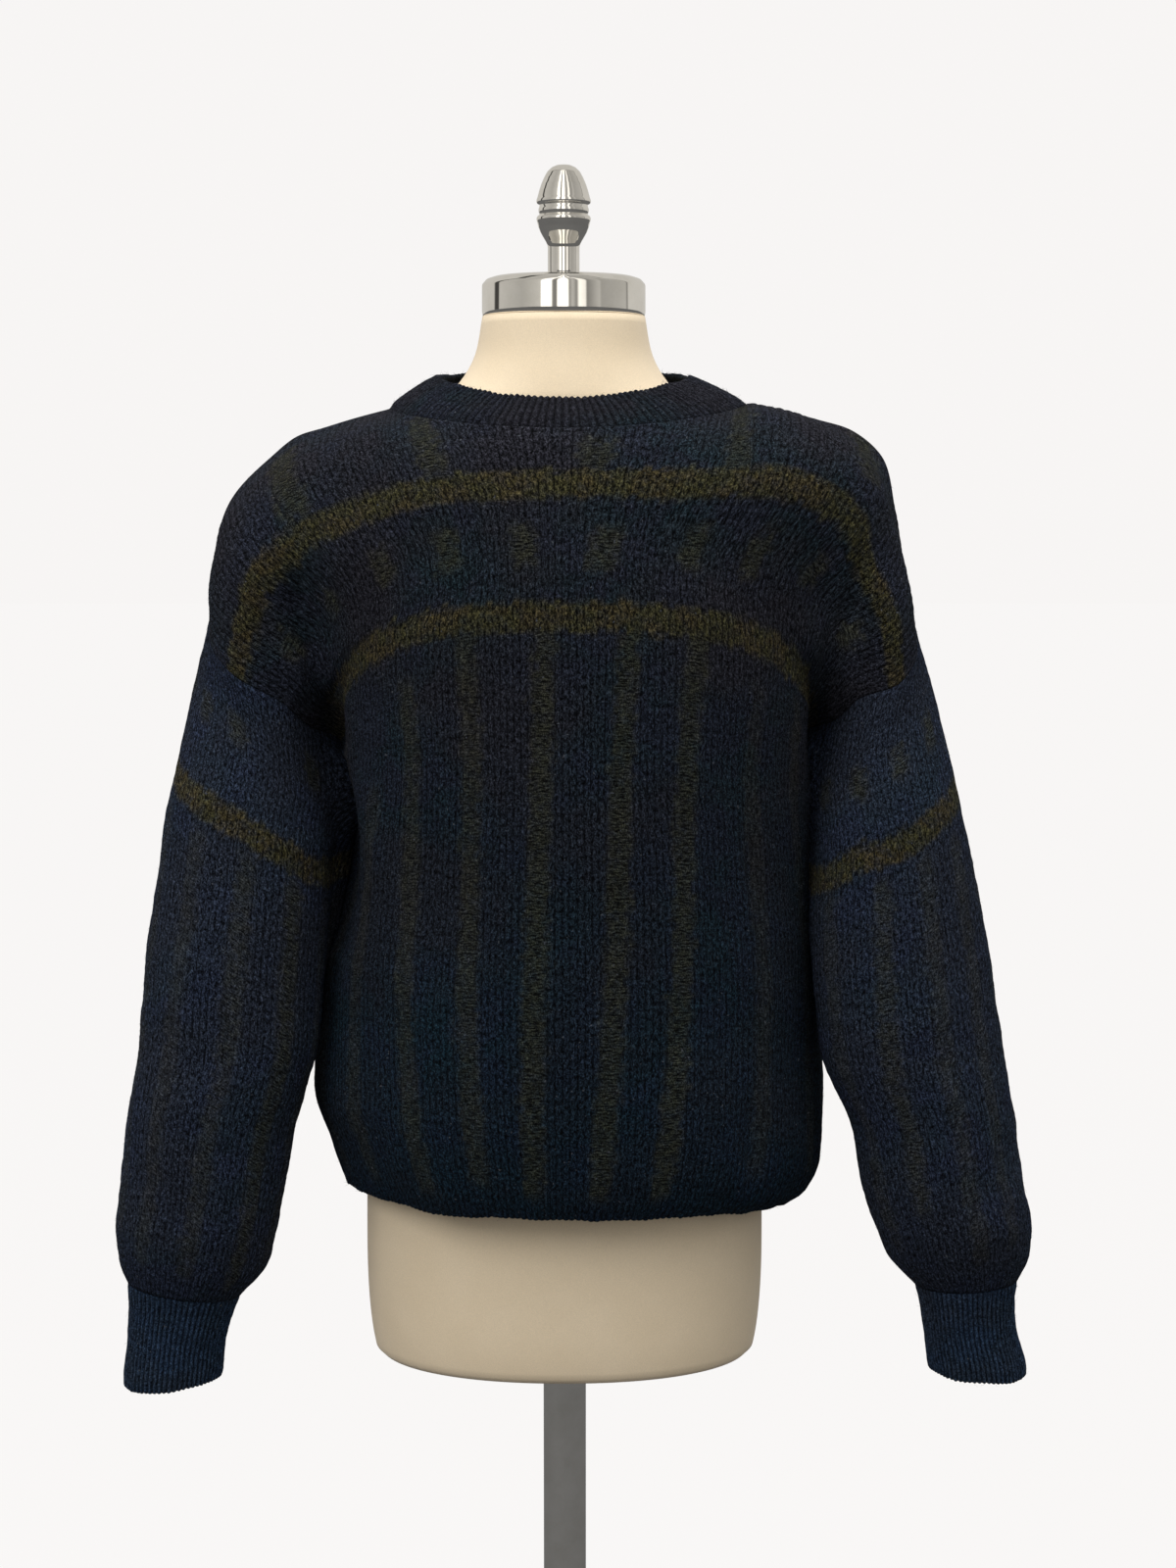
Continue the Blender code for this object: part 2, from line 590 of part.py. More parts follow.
def build():
    clear_scene()
    group = new_collection(NAME)
    knit = material("navy_wool_knit", (0.016, 0.019, 0.027), 0.95)
    rib = material("navy_wool_rib", (0.015, 0.020, 0.032), 0.95)
    linen = material("cream_linen", (0.80, 0.68, 0.48), 0.85)
    chrome = material("polished_chrome", (0.78, 0.78, 0.78), 0.12, 1.0)

    front = panel("front")
    back = panel("back")
    rings = {side: armhole(front, back, side) for side in ("right", "left")}
    sleeves = {side: sleeve(rings[side], side) for side in ("right", "left")}
    middle = len(OUTER_SHARES)
    neck_front = front[middle:middle + 2 * NECK_EDGES + 1, -1]
    neck_back = back[middle:middle + 2 * NECK_EDGES + 1, -1]
    neckline = np.concatenate([neck_front[:-1], neck_back[:-1]])
    neck_coarse = neckband_rows(neckline, 1).transpose(1, 0, 2)
    cuffs_coarse = {side: cuff_rows(sleeves[side][:, -1], side, 1).transpose(1, 0, 2)
                    for side in ("right", "left")}

    signs = {"right": 1.0, "left": -1.0}
    grids = [(front, False, 1.0), (back, False, 1.0), (neck_coarse, True, 1.0)]
    for side in ("right", "left"):
        grids.append((sleeves[side], True, signs[side]))
        grids.append((cuffs_coarse[side], True, signs[side]))
    normals = shared_normals(grids, [rings[side][0] for side in ("right", "left")])

    for name, grid, outward, apart in (("front", front, normals[0], -1.0),
                                       ("back", back, normals[1], 1.0)):
        moves = seam_moves(grid, outward, False, False, True, True)
        moves[[0, -1], COURSES.index(UNDERARM)] = (0.0, apart * SEAM_GAP, SEAM_GAP / 2)
        wall_object(name, grid + moves, grid + moves - outward * WALL, False, knit, group)
    ribbed_band("neckband", neckband_rows(neckline, NECK_STEPS), normals[2][:, 0],
                NECK_STEPS, NECK_INNER, NECK_RIB, rib, group, (0, 2, 3))
    for index, side in enumerate(("right", "left")):
        grid = sleeves[side]
        outward = normals[3 + 2 * index]
        moves = seam_moves(grid, outward, True, True, True, False)
        wall_object("sleeve_" + side, grid + moves, grid + moves - outward * WALL, True, knit, group)
        ribbed_band("cuff_" + side, cuff_rows(grid[:, -1], side, CUFF_STEPS),
                    normals[4 + 2 * index][:, 0], CUFF_STEPS, CUFF_INNER, CUFF_RIB, rib, group,
                    (0, 2, 4))

    form_torso(linen, group)
    turned("form_cap", CAP_PROFILE, chrome, group)
    turned("form_finial", FINIAL_PROFILE, chrome, group)
    form_pole(chrome, group)
    turned("form_base", BASE_PROFILE, chrome, group)


build()
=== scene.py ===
# A crew-neck pullover in thick soft wool on a dress form.
# Metres, +Z up, front towards -Y, the wearer's left at +X.
import math

import bpy
import numpy as np
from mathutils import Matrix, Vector
from mathutils.bvhtree import BVHTree


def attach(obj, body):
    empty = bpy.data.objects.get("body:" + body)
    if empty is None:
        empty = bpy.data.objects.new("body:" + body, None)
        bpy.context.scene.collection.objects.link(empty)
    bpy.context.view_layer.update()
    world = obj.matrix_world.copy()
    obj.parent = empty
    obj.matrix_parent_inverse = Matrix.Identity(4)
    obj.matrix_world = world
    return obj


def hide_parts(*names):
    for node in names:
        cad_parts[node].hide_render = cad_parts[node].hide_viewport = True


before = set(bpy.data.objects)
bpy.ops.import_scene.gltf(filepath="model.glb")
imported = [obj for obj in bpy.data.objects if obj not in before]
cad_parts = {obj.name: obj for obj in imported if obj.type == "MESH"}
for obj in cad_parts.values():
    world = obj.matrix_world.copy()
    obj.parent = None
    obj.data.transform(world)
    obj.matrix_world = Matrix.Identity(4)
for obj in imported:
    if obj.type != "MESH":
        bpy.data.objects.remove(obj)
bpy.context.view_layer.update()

rand = np.random.default_rng(7)

# the garment's cut

cut = {
    "wall": 0.003,              # thickness of the knit
    "underarm": 0.43,           # course at which the side seam ends, up from the hem
    "yoke": 0.52,               # course of the upper stripe
    "neckShare": 0.38,          # share of half a panel's width under the neckband
    "droopPower": 2.3,          # a higher one lets a course droop nearer its side
    "shoulderBulge": 1.4,       # how far the yoke rounds out
    "backCentre": 0.88,         # depth of the back's middle beside the front's
    "wales": 58,                # stitch columns across half a panel
    "samples": 4,               # mesh columns for each stitch column
    "rowStep": 0.0032,          # mesh row height
    "yokeRows": 28,             # mesh rows above the yoke
    "stitch": 0.0042,           # height of one stitch
}

bodyColumns = ("course", "centreZ", "rightDrop", "leftDrop", "rightHalf", "leftHalf",
               "front", "back", "sideY", "roundness")
bodyRows = (
    (0.000, 0.8350, 0.002, 0.020, 0.160, 0.168, 0.146, 0.134, 0.000, 2.2),
    (0.012, 0.8440, 0.003, 0.022, 0.164, 0.181, 0.152, 0.140, 0.000, 2.2),
    (0.035, 0.8660, 0.004, 0.021, 0.173, 0.191, 0.157, 0.145, 0.005, 2.2),
    (0.080, 0.9080, 0.005, 0.022, 0.1885, 0.195, 0.160, 0.147, 0.018, 2.15),
    (0.150, 0.9770, 0.015, 0.028, 0.1865, 0.1945, 0.159, 0.146, 0.035, 2.05),
    (0.240, 1.0660, 0.030, 0.036, 0.180, 0.190, 0.157, 0.142, 0.030, 2.0),
    (0.330, 1.1560, 0.055, 0.055, 0.1700, 0.1825, 0.154, 0.136, 0.009, 2.1),
    (0.430, 1.2553, 0.095, 0.090, 0.165, 0.178, 0.1485, 0.130, 0.000, 2.4),
)

# rows above the underarm: course, then places (out, forward, up) from the chest to the arm
armRows = {
    "right": (
        (0.452, ((0.000, 0.1460, 1.278), (0.098, 0.127, 1.267), (0.145, 0.092, 1.246),
                 (0.164, 0.068, 1.220), (0.174, 0.052, 1.192), (0.183, 0.036, 1.170))),
        (0.475, ((0.000, 0.1428, 1.300), (0.100, 0.124, 1.290), (0.147, 0.094, 1.268),
                 (0.173, 0.064, 1.238), (0.187, 0.066, 1.212), (0.199, 0.060, 1.188))),
        (0.520, ((0.000, 0.1335, 1.345), (0.097, 0.120, 1.340), (0.150, 0.095, 1.324),
                 (0.190, 0.077, 1.304), (0.2155, 0.070, 1.279), (0.226, 0.068, 1.248),
                 (0.2335, 0.065, 1.2086))),
    ),
    "left": (
        (0.452, ((0.000, 0.1460, 1.278), (0.100, 0.1285, 1.270), (0.150, 0.096, 1.256),
                 (0.176, 0.070, 1.232), (0.187, 0.052, 1.200), (0.196, 0.036, 1.175))),
        (0.475, ((0.000, 0.1428, 1.300), (0.100, 0.1255, 1.295), (0.152, 0.098, 1.283),
                 (0.185, 0.067, 1.256), (0.200, 0.067, 1.222), (0.2105, 0.060, 1.192))),
        (0.520, ((0.000, 0.1335, 1.345), (0.100, 0.121, 1.346), (0.1665, 0.098, 1.3435),
                 (0.2033, 0.076, 1.321), (0.2176, 0.068, 1.2816), (0.2308, 0.067, 1.2545),
                 (0.238, 0.064, 1.2025))),
    ),
}

# shoulder seam from the neck point to the top of the armhole, as (out, up)
shoulder = {
    "right": ((0.1270, 1.3996), (0.152, 1.393), (0.175, 1.386), (0.194, 1.380),
              (0.2135, 1.365), (0.2444, 1.332), (0.257, 1.289), (0.2596, 1.2513)),
    "left": ((0.1330, 1.4030), (0.1588, 1.3985), (0.1847, 1.392), (0.211, 1.3835),
             (0.2315, 1.366), (0.2423, 1.327), (0.250, 1.280), (0.2567, 1.2456)),
}

neck = {
    "baseFront": 0.115, "baseBack": 0.105, "baseFrontZ": 1.3836, "baseBackZ": 1.403,
    "topHalf": 0.092, "topFront": 0.088, "topBack": 0.078,
    "topSideZ": 1.4225, "topFrontZ": 1.405, "topBackZ": 1.431,
    "swell": 0.0015, "ribs": 132, "samples": 6, "rows": 18, "ribHeight": 0.0014,
    "sag": 0.0004, "seam": 0.0004,      # unevenness, and depth of the groove at the seam
}

# sleeves: rings from below the armhole to the cuff
sleeveColumns = ("z", "out", "forward", "halfWidth", "halfDepth", "tilt")
sleeveRows = {
    "right": (
        (1.1600, 0.2210, 0.000, 0.0505, 0.0740, 0.075),
        (1.1000, 0.2288, 0.030, 0.0576, 0.0690, 0.025),
        (1.0560, 0.2327, 0.041, 0.0612, 0.0660, 0.010),
        (0.9900, 0.2390, 0.050, 0.0653, 0.0640, 0.004),
        (0.9400, 0.2431, 0.055, 0.0660, 0.0620, 0.000),
        (0.8840, 0.2552, 0.058, 0.0606, 0.0600, 0.000),
        (0.8400, 0.2614, 0.060, 0.0585, 0.0570, 0.002),
        (0.8030, 0.2681, 0.060, 0.0561, 0.0530, 0.006),
        (0.7820, 0.2720, 0.060, 0.0520, 0.0470, 0.010),
        (0.7620, 0.2775, 0.060, 0.0416, 0.0360, 0.012),
    ),
    "left": (
        (1.1600, 0.2268, 0.000, 0.0432, 0.0740, 0.070),
        (1.1000, 0.2348, 0.030, 0.0526, 0.0700, 0.025),
        (1.0560, 0.2399, 0.041, 0.0581, 0.0670, 0.010),
        (1.0120, 0.2442, 0.047, 0.0626, 0.0650, 0.006),
        (0.9690, 0.2487, 0.052, 0.0655, 0.0640, 0.004),
        (0.9310, 0.2540, 0.056, 0.0668, 0.0620, 0.000),
        (0.8840, 0.2679, 0.058, 0.0602, 0.0600, 0.000),
        (0.8440, 0.2756, 0.060, 0.0585, 0.0570, 0.002),
        (0.8090, 0.2847, 0.060, 0.0550, 0.0530, 0.004),
        (0.7890, 0.2886, 0.060, 0.0501, 0.0460, 0.004),
        (0.7670, 0.2940, 0.060, 0.0379, 0.0350, 0.005),
    ),
}
sleeveCut = {"armholeMiddle": 1.2057, "around": 320, "rows": 170, "wales": 40}

cuffRows = {
    "right": (
        (0.7580, 0.2781, 0.060, 0.0402, 0.0345, 0.011),
        (0.7250, 0.2838, 0.060, 0.0355, 0.0310, 0.003),
        (0.6970, 0.2866, 0.060, 0.0352, 0.0310, -0.005),
        (0.6930, 0.2870, 0.060, 0.0348, 0.0306, -0.006),
    ),
    "left": (
        (0.7630, 0.2942, 0.060, 0.0364, 0.0340, 0.005),
        (0.7330, 0.2965, 0.060, 0.0334, 0.0305, 0.001),
        (0.7035, 0.3021, 0.060, 0.0347, 0.0310, -0.004),
        (0.6995, 0.3024, 0.060, 0.0343, 0.0306, -0.004),
    ),
}
cuffCut = {"ribs": 60, "samples": 6, "rows": 30, "ribHeight": 0.0013, "sag": 0.0005,
           "seam": 0.0008}


# lines and grids

# a smooth line through values at knots; a steady one never swings past them
def smoothLine(knots, values, places, steady=False):
    knots = np.asarray(knots, float)
    values = np.asarray(values, float)
    places = np.asarray(places, float)
    steps = np.diff(knots)
    slopes = np.diff(values, axis=0) / steps[:, None]
    tangents = np.empty_like(values)
    tangents[0] = slopes[0]
    tangents[-1] = slopes[-1]
    before = steps[:-1, None]
    after = steps[1:, None]
    if steady:
        sameWay = slopes[:-1] * slopes[1:] > 0
        low = np.where(sameWay, slopes[:-1], 1.0)
        high = np.where(sameWay, slopes[1:], 1.0)
        mean = 3 * (before + after) / ((2 * after + before) / low + (after + 2 * before) / high)
        tangents[1:-1] = np.where(sameWay, mean, 0.0)
    else:
        tangents[1:-1] = (slopes[:-1] * after + slopes[1:] * before) / (before + after)
    i = np.clip(np.searchsorted(knots, places, side="right") - 1, 0, len(knots) - 2)
    step = steps[i][:, None]
    u = ((places - knots[i]) / steps[i])[:, None]
    start = values[i] * (1 + 2 * u) * (1 - u) ** 2 + tangents[i] * step * u * (1 - u) ** 2
    end = values[i + 1] * u ** 2 * (3 - 2 * u) + tangents[i + 1] * step * u ** 2 * (u - 1)
    return start + end


# points at shares of the length of a smooth line
def along(points, shares, mirrored=False):
    points = np.asarray(points, float)
    if mirrored:
        points = np.vstack([points[1] * (-1, 1, 1), points])
    chord = np.r_[0, np.cumsum(np.linalg.norm(np.diff(points, axis=0), axis=1))]
    fine = smoothLine(chord, points, np.linspace(chord[int(mirrored)], chord[-1], 600))
    length = np.r_[0, np.cumsum(np.linalg.norm(np.diff(fine, axis=0), axis=1))]
    places = np.asarray(shares) * length[-1]
    return np.stack([np.interp(places, length, fine[:, axis]) for axis in range(3)], axis=1)


def unit(vectors):
    return vectors / np.maximum(np.linalg.norm(vectors, axis=-1, keepdims=True), 1e-12)


# blurs a grid of numbers along both axes; a ring goes round its first axis
def blur(values, across, up, ring=False):
    result = values
    for axis, size in ((0, across), (1, up)):
        reach = max(1, int(math.ceil(size * 2.5)))
        weights = np.exp(-0.5 * (np.arange(-reach, reach + 1) / max(size, 0.01)) ** 2)
        weights /= weights.sum()
        pad = [(0, 0), (0, 0)]
        pad[axis] = (reach, reach)
        wide = np.pad(result, pad, mode="wrap" if ring and axis == 0 else "reflect")
        result = np.apply_along_axis(lambda line: np.convolve(line, weights, "valid"), axis, wide)
    return result


# seeded unevenness of a grid with a given grain, scaled to a spread of one
def lumps(shape, across, up, ring=False):
    found = blur(rand.standard_normal(shape), across, up, ring)
    return found / found.std()


def gridNormals(grid, ring=False):
    if ring:
        across = np.roll(grid, -1, axis=0) - np.roll(grid, 1, axis=0)
    else:
        across = np.gradient(grid, axis=0)
    return unit(np.cross(across, np.gradient(grid, axis=1)))


# how far each point of a grid is up its own column
def lengthUp(grid):
    steps = np.linalg.norm(np.diff(grid, axis=1), axis=2)
    return np.concatenate([np.zeros((len(grid), 1)), np.cumsum(steps, axis=1)], axis=1)


# one at a seam and fading over a reach, and the other way round
def near(gap, reach):
    return np.exp(-(gap / reach) ** 2)


def clear(gap, reach):
    return 1 - near(gap, reach)


# body panels

def bodyCourse(row, side, face, shares):
    cell = dict(zip(bodyColumns, row))
    power = 2 / cell["roundness"]
    seam = -cell["sideY"] if face == "front" else cell["sideY"]
    coarse = np.linspace(0, math.pi / 2, 9)
    out = cell[side + "Half"] * np.sin(coarse) ** power
    forward = seam + (cell[face] - seam) * np.maximum(np.cos(coarse), 0) ** power
    forward[-1] = seam
    up = cell["centreZ"] - cell[side + "Drop"] * (coarse / (math.pi / 2)) ** cut["droopPower"]
    return along(np.stack([out, forward, up], axis=1), shares, mirrored=True)


def armCourse(places, face, shares):
    points = along(places, shares, mirrored=True)
    if face == "back":
        points[:, 1] *= cut["backCentre"] + (1 - cut["backCentre"]) * np.asarray(shares)
    return points


# the top edge of half a panel: neckline, then shoulder seam
def topLine(side, face, shares):
    turnTable = np.linspace(0, math.pi / 2, 400)
    shareTable = cut["neckShare"] * (0.5 * np.sin(turnTable) + 0.5 * turnTable / (math.pi / 2))
    turns = np.interp(shares, shareTable, turnTable)
    name = face.capitalize()
    neckOut, neckUp = shoulder[side][0]
    up = neckUp + (neck["base" + name + "Z"] - neckUp) * np.cos(turns) ** 1.5
    line = np.stack([neckOut * np.sin(turns), neck["base" + name] * np.cos(turns), up], axis=1)
    ridge = [(out, 0.0, up) for out, up in shoulder[side]]
    beyond = shares > cut["neckShare"]
    line[beyond] = along(ridge, (shares[beyond] - cut["neckShare"]) / (1 - cut["neckShare"]))
    return line


# half a panel as [column][row] of (out, forward, up), with each point's course
def halfPanel(side, face):
    shares = np.linspace(0, 1, cut["wales"] * cut["samples"] + 1)
    lower = np.linspace(0, cut["yoke"], int(cut["yoke"] / cut["rowStep"]) + 1)
    upper = np.arange(1, cut["yokeRows"] + 1) / cut["yokeRows"]
    knots = [row[0] for row in bodyRows] + [row[0] for row in armRows[side]]
    keys = [bodyCourse(row, side, face, shares) for row in bodyRows]
    keys += [armCourse(places, face, shares) for course, places in armRows[side]]
    top = topLine(side, face, shares)
    yokeLine = keys[-1]
    chord = top - yokeLine
    length = np.linalg.norm(chord, axis=1, keepdims=True)
    outward = unit(np.cross(chord, np.gradient(yokeLine, axis=0)))
    middle = (yokeLine + top) / 2 + outward * cut["shoulderBulge"] * length ** 2
    first = np.linalg.norm(middle - yokeLine, axis=1)
    second = np.linalg.norm(top - middle, axis=1)
    columns, courses = [], []
    corner = len(bodyRows)
    for i in range(len(shares)):
        line = [key[i] for key in keys] + [middle[i], top[i]]
        places = knots + [cut["yoke"] + first[i], cut["yoke"] + first[i] + second[i]]
        course = np.r_[lower, cut["yoke"] + (places[-1] - cut["yoke"]) * upper]
        column = smoothLine(places, line, course, steady=True)
        if i == len(shares) - 1:        # the side seam turns a corner at the underarm
            below = course <= cut["underarm"]
            column[below] = smoothLine(places[:corner], line[:corner], course[below], True)
            above = course[~below]
            column[~below] = smoothLine(places[corner - 1:], line[corner - 1:], above, True)
        columns.append(column)
        courses.append(course)
    return np.asarray(columns), np.asarray(courses), shares


# a whole panel seen from outside, with wale and course numbers
def panel(face):
    ahead = -1.0 if face == "front" else 1.0
    right, rightCourse, shares = halfPanel("right", face)
    left, leftCourse, shares = halfPanel("left", face)
    grid = np.concatenate([(right * (-1, ahead, 1))[::-1], (left * (1, ahead, 1))[1:]])
    course = np.concatenate([rightCourse[::-1], leftCourse[1:]])
    wale = np.concatenate([-shares[::-1], shares[1:]]) * cut["wales"]
    if face == "back":
        grid, course, wale = grid[::-1], course[::-1], wale[::-1]
    return grid, np.repeat(wale[:, None], grid.shape[1], axis=1), course


armhole = {"courses": (0.43, 0.442, 0.455, 0.470, 0.492, 0.52), "yokeSteps": 5}


# armhole ring, from the underarm over the front edge to the shoulder and back behind
def armholeRing(front, back, courses, side, count):
    frontEdge = front[0 if side == "right" else -1]
    backEdge = back[-1 if side == "right" else 0]
    course = courses[0 if side == "right" else -1]
    rise = np.arange(1, armhole["yokeSteps"] + 1) / armhole["yokeSteps"]
    steps = np.r_[armhole["courses"], cut["yoke"] + (course[-1] - cut["yoke"]) * rise]
    top = len(steps) - 1
    index = np.arange(count) * 2 * top / count
    place = np.interp(np.where(index <= top, index, 2 * top - index), np.arange(top + 1), steps)
    found = np.empty((count, 3))
    for axis in range(3):
        ahead = np.interp(place, course, frontEdge[:, axis])
        behind = np.interp(place, course, backEdge[:, axis])
        found[:, axis] = np.where(index <= top, ahead, behind)
    return found


# sleeves and bands

def tubeRing(row, sign, angles):
    cell = dict(zip(sleeveColumns, row))
    across = -np.cos(angles)
    out = sign * (cell["out"] + cell["halfWidth"] * across)
    forward = -cell["forward"] - cell["halfDepth"] * np.sin(angles)
    return np.stack([out, forward, cell["z"] + cell["tilt"] / 2 * across], axis=1)


def sleeveGrid(ring, side):
    sign = -1.0 if side == "right" else 1.0
    angles = np.arange(len(ring)) * 2 * math.pi / len(ring)
    rows = sleeveRows[side]
    keys = np.asarray([ring] + [tubeRing(row, sign, angles) for row in rows])
    knots = [0.0] + [sleeveCut["armholeMiddle"] - row[0] for row in rows]
    places = np.linspace(0, knots[-1], sleeveCut["rows"] + 1)
    return np.asarray([smoothLine(knots, keys[:, i], places) for i in range(len(ring))])


def ringLine(base, count):
    edge = np.arange(count) * len(base) / count
    closed = np.vstack([base, base[:1]])
    places = np.arange(len(closed))
    return np.stack([np.interp(edge, places, closed[:, axis]) for axis in range(3)], axis=1)


# the neckband's smooth outside, as [point][row] from the neckline to its free edge
def neckGrid():
    count = neck["ribs"] * neck["samples"]
    turn = np.arange(count) / count * 2 * math.pi - math.pi / 2
    ahead = np.cos(turn)
    right = np.sin(turn) < 0
    inFront = ahead > 0
    neckOut = np.where(right, shoulder["right"][0][0], shoulder["left"][0][0])
    neckUp = np.where(right, shoulder["right"][0][1], shoulder["left"][0][1])
    baseDepth = np.where(inFront, neck["baseFront"], neck["baseBack"])
    baseZ = np.where(inFront, neck["baseFrontZ"], neck["baseBackZ"])
    rise = np.abs(ahead) ** 1.5
    up = neckUp + (baseZ - neckUp) * rise
    low = np.stack([neckOut * np.sin(turn), -baseDepth * ahead, up], axis=1)
    depth = np.where(inFront, neck["topFront"], neck["topBack"])
    topZ = np.where(inFront, neck["topFrontZ"], neck["topBackZ"])
    up = neck["topSideZ"] + (topZ - neck["topSideZ"]) * rise
    high = np.stack([neck["topHalf"] * np.sin(turn), -depth * ahead, up], axis=1)
    outward = unit(np.stack([np.sin(turn), -ahead, 0.6 + 0 * turn], axis=1))
    levels = np.linspace(0, 1, neck["rows"] + 1)
    rows = [low + (high - low) * v + outward * neck["swell"] * 4 * v * (1 - v) for v in levels]
    return np.asarray(rows).transpose(1, 0, 2)


def cuffGrid(base, side):
    sign = -1.0 if side == "right" else 1.0
    count = cuffCut["ribs"] * cuffCut["samples"]
    first = ringLine(base, count)
    angles = np.arange(count) / count * 2 * math.pi
    keys = np.asarray([first] + [tubeRing(row, sign, angles) for row in cuffRows[side]])
    heights = np.r_[0, np.cumsum(np.linalg.norm(np.diff(keys.mean(axis=1), axis=0), axis=1))]
    places = np.linspace(0, heights[-1], cuffCut["rows"] + 1)
    return np.asarray([smoothLine(heights, keys[:, i], places) for i in range(count)])


# meshes

def newMesh(name, points, faces, material):
    mesh = bpy.data.meshes.new(name)
    mesh.from_pydata(np.asarray(points).tolist(), [], faces)
    piece = bpy.data.objects.new(name, mesh)
    bpy.context.scene.collection.objects.link(piece)
    mesh.materials.append(material)
    mesh.polygons.foreach_set("use_smooth", [True] * len(mesh.polygons))
    return piece


# triangles between two rows of points that start and end together
def bridge(first, second, faces, flip=False):
    i = j = 0
    while i < len(first) - 1 or j < len(second) - 1:
        ahead = (i + 1) / (len(first) - 1) if i < len(first) - 1 else 2
        beside = (j + 1) / (len(second) - 1) if j < len(second) - 1 else 2
        if ahead <= beside:
            face = (first[i], first[i + 1], second[j])
            i += 1
        else:
            face = (first[i], second[j + 1], second[j])
            j += 1
        faces.append(face[::-1] if flip else face)


outerCounts = {}                # how many of a shell's faces are its outside
lipTurns = (math.pi / 4, math.pi / 2, math.pi * 3 / 4)


def picks(count, skip, ring):
    found = np.arange(0, count, skip)
    return found if ring or found[-1] == count - 1 else np.r_[found, count - 1]


# A thin closed shell of knit. The outside is the base grid moved out by its height; the
# inside is a plainer grid one wall in. A free edge is rounded over by three more rows.
# numbers holds the wale, course, olive share and upright-line share of each base point.
def knitShell(name, base, normals, height, numbers, material, ring=False, free=None,
              skip=(4, 6), reverse=False):
    outer = base + normals * height[..., None]
    inner = base - normals * cut["wall"]
    numbers = [np.broadcast_to(n, base.shape[:2]) for n in numbers]
    full = numbers
    if free:
        first = free == "first"
        end, beside = (0, 1) if first else (-1, -2)
        down = unit(outer[:, end] - outer[:, beside])
        middle = (outer[:, end] + inner[:, end]) / 2
        half = (outer[:, end] - inner[:, end]) / 2
        thick = np.linalg.norm(half, axis=1, keepdims=True)
        lips = np.stack([middle + half * math.cos(turn) + down * thick * math.sin(turn)
                         for turn in lipTurns], axis=1)
        outer = np.concatenate([lips[:, ::-1], outer] if first else [outer, lips], axis=1)
        more = (len(lipTurns), 0) if first else (0, len(lipTurns))
        full = [np.pad(n, ((0, 0), more), mode="edge") for n in numbers]
    chosen = np.ix_(picks(base.shape[0], skip[0], ring), picks(base.shape[1], skip[1], False))
    inside = inner[chosen]
    points = np.concatenate([outer.reshape(-1, 3), inside.reshape(-1, 3)])
    outerIndex = np.arange(outer[..., 0].size).reshape(outer.shape[:2])
    innerIndex = outerIndex.size + np.arange(inside[..., 0].size).reshape(inside.shape[:2])
    outerCounts[name] = (outer.shape[0] - (0 if ring else 1)) * (outer.shape[1] - 1)
    faces = []
    for index, turned in ((outerIndex, reverse), (innerIndex, not reverse)):
        beyond = np.roll(index, -1, axis=0) if ring else index[1:]
        here = index if ring else index[:-1]
        quads = np.stack([here[:, :-1], beyond[:, :-1], beyond[:, 1:], here[:, 1:]], axis=-1)
        quads = quads.reshape(-1, 4)
        faces += (quads[:, ::-1] if turned else quads).tolist()
    for row, flip in ((0, not reverse), (-1, reverse)):
        lines = [index[:, row] for index in (outerIndex, innerIndex)]
        if ring:
            lines = [np.r_[line, line[:1]] for line in lines]
        bridge(*lines, faces, flip)
    if not ring:
        bridge(outerIndex[0], innerIndex[0], faces, reverse)
        bridge(outerIndex[-1], innerIndex[-1], faces, not reverse)
    piece = newMesh(name, points, faces, material)
    wale, course, olive, upright = (np.r_[outside.ravel(), n[chosen].ravel()]
                                    for outside, n in zip(full, numbers))
    knit = np.stack([wale, course, upright], 1).astype(np.float32)
    places = piece.data.attributes.new("knit", "FLOAT_VECTOR", "POINT")
    places.data.foreach_set("vector", knit.ravel())
    share = piece.data.attributes.new("olive", "FLOAT", "POINT")
    share.data.foreach_set("value", olive.astype(np.float32))
    return piece


# relief

relief = {
    "wale": 0.0007,             # how far a stitch column stands out
    "seam": 0.00015,            # depth of the groove along a seam
    "seamWidth": 0.0025,        # and its width
    "calm": 0.005,              # how far from a seam the stitches lie plain
    "drapeCalm": 0.016,         # and how far the folds fade
    "drape": 0.0011,            # broad soft unevenness of worn cloth
    "pucker": 0.00035,          # unevenness over a few stitches
    "yarn": 0.00012,            # unevenness of each stitch
}

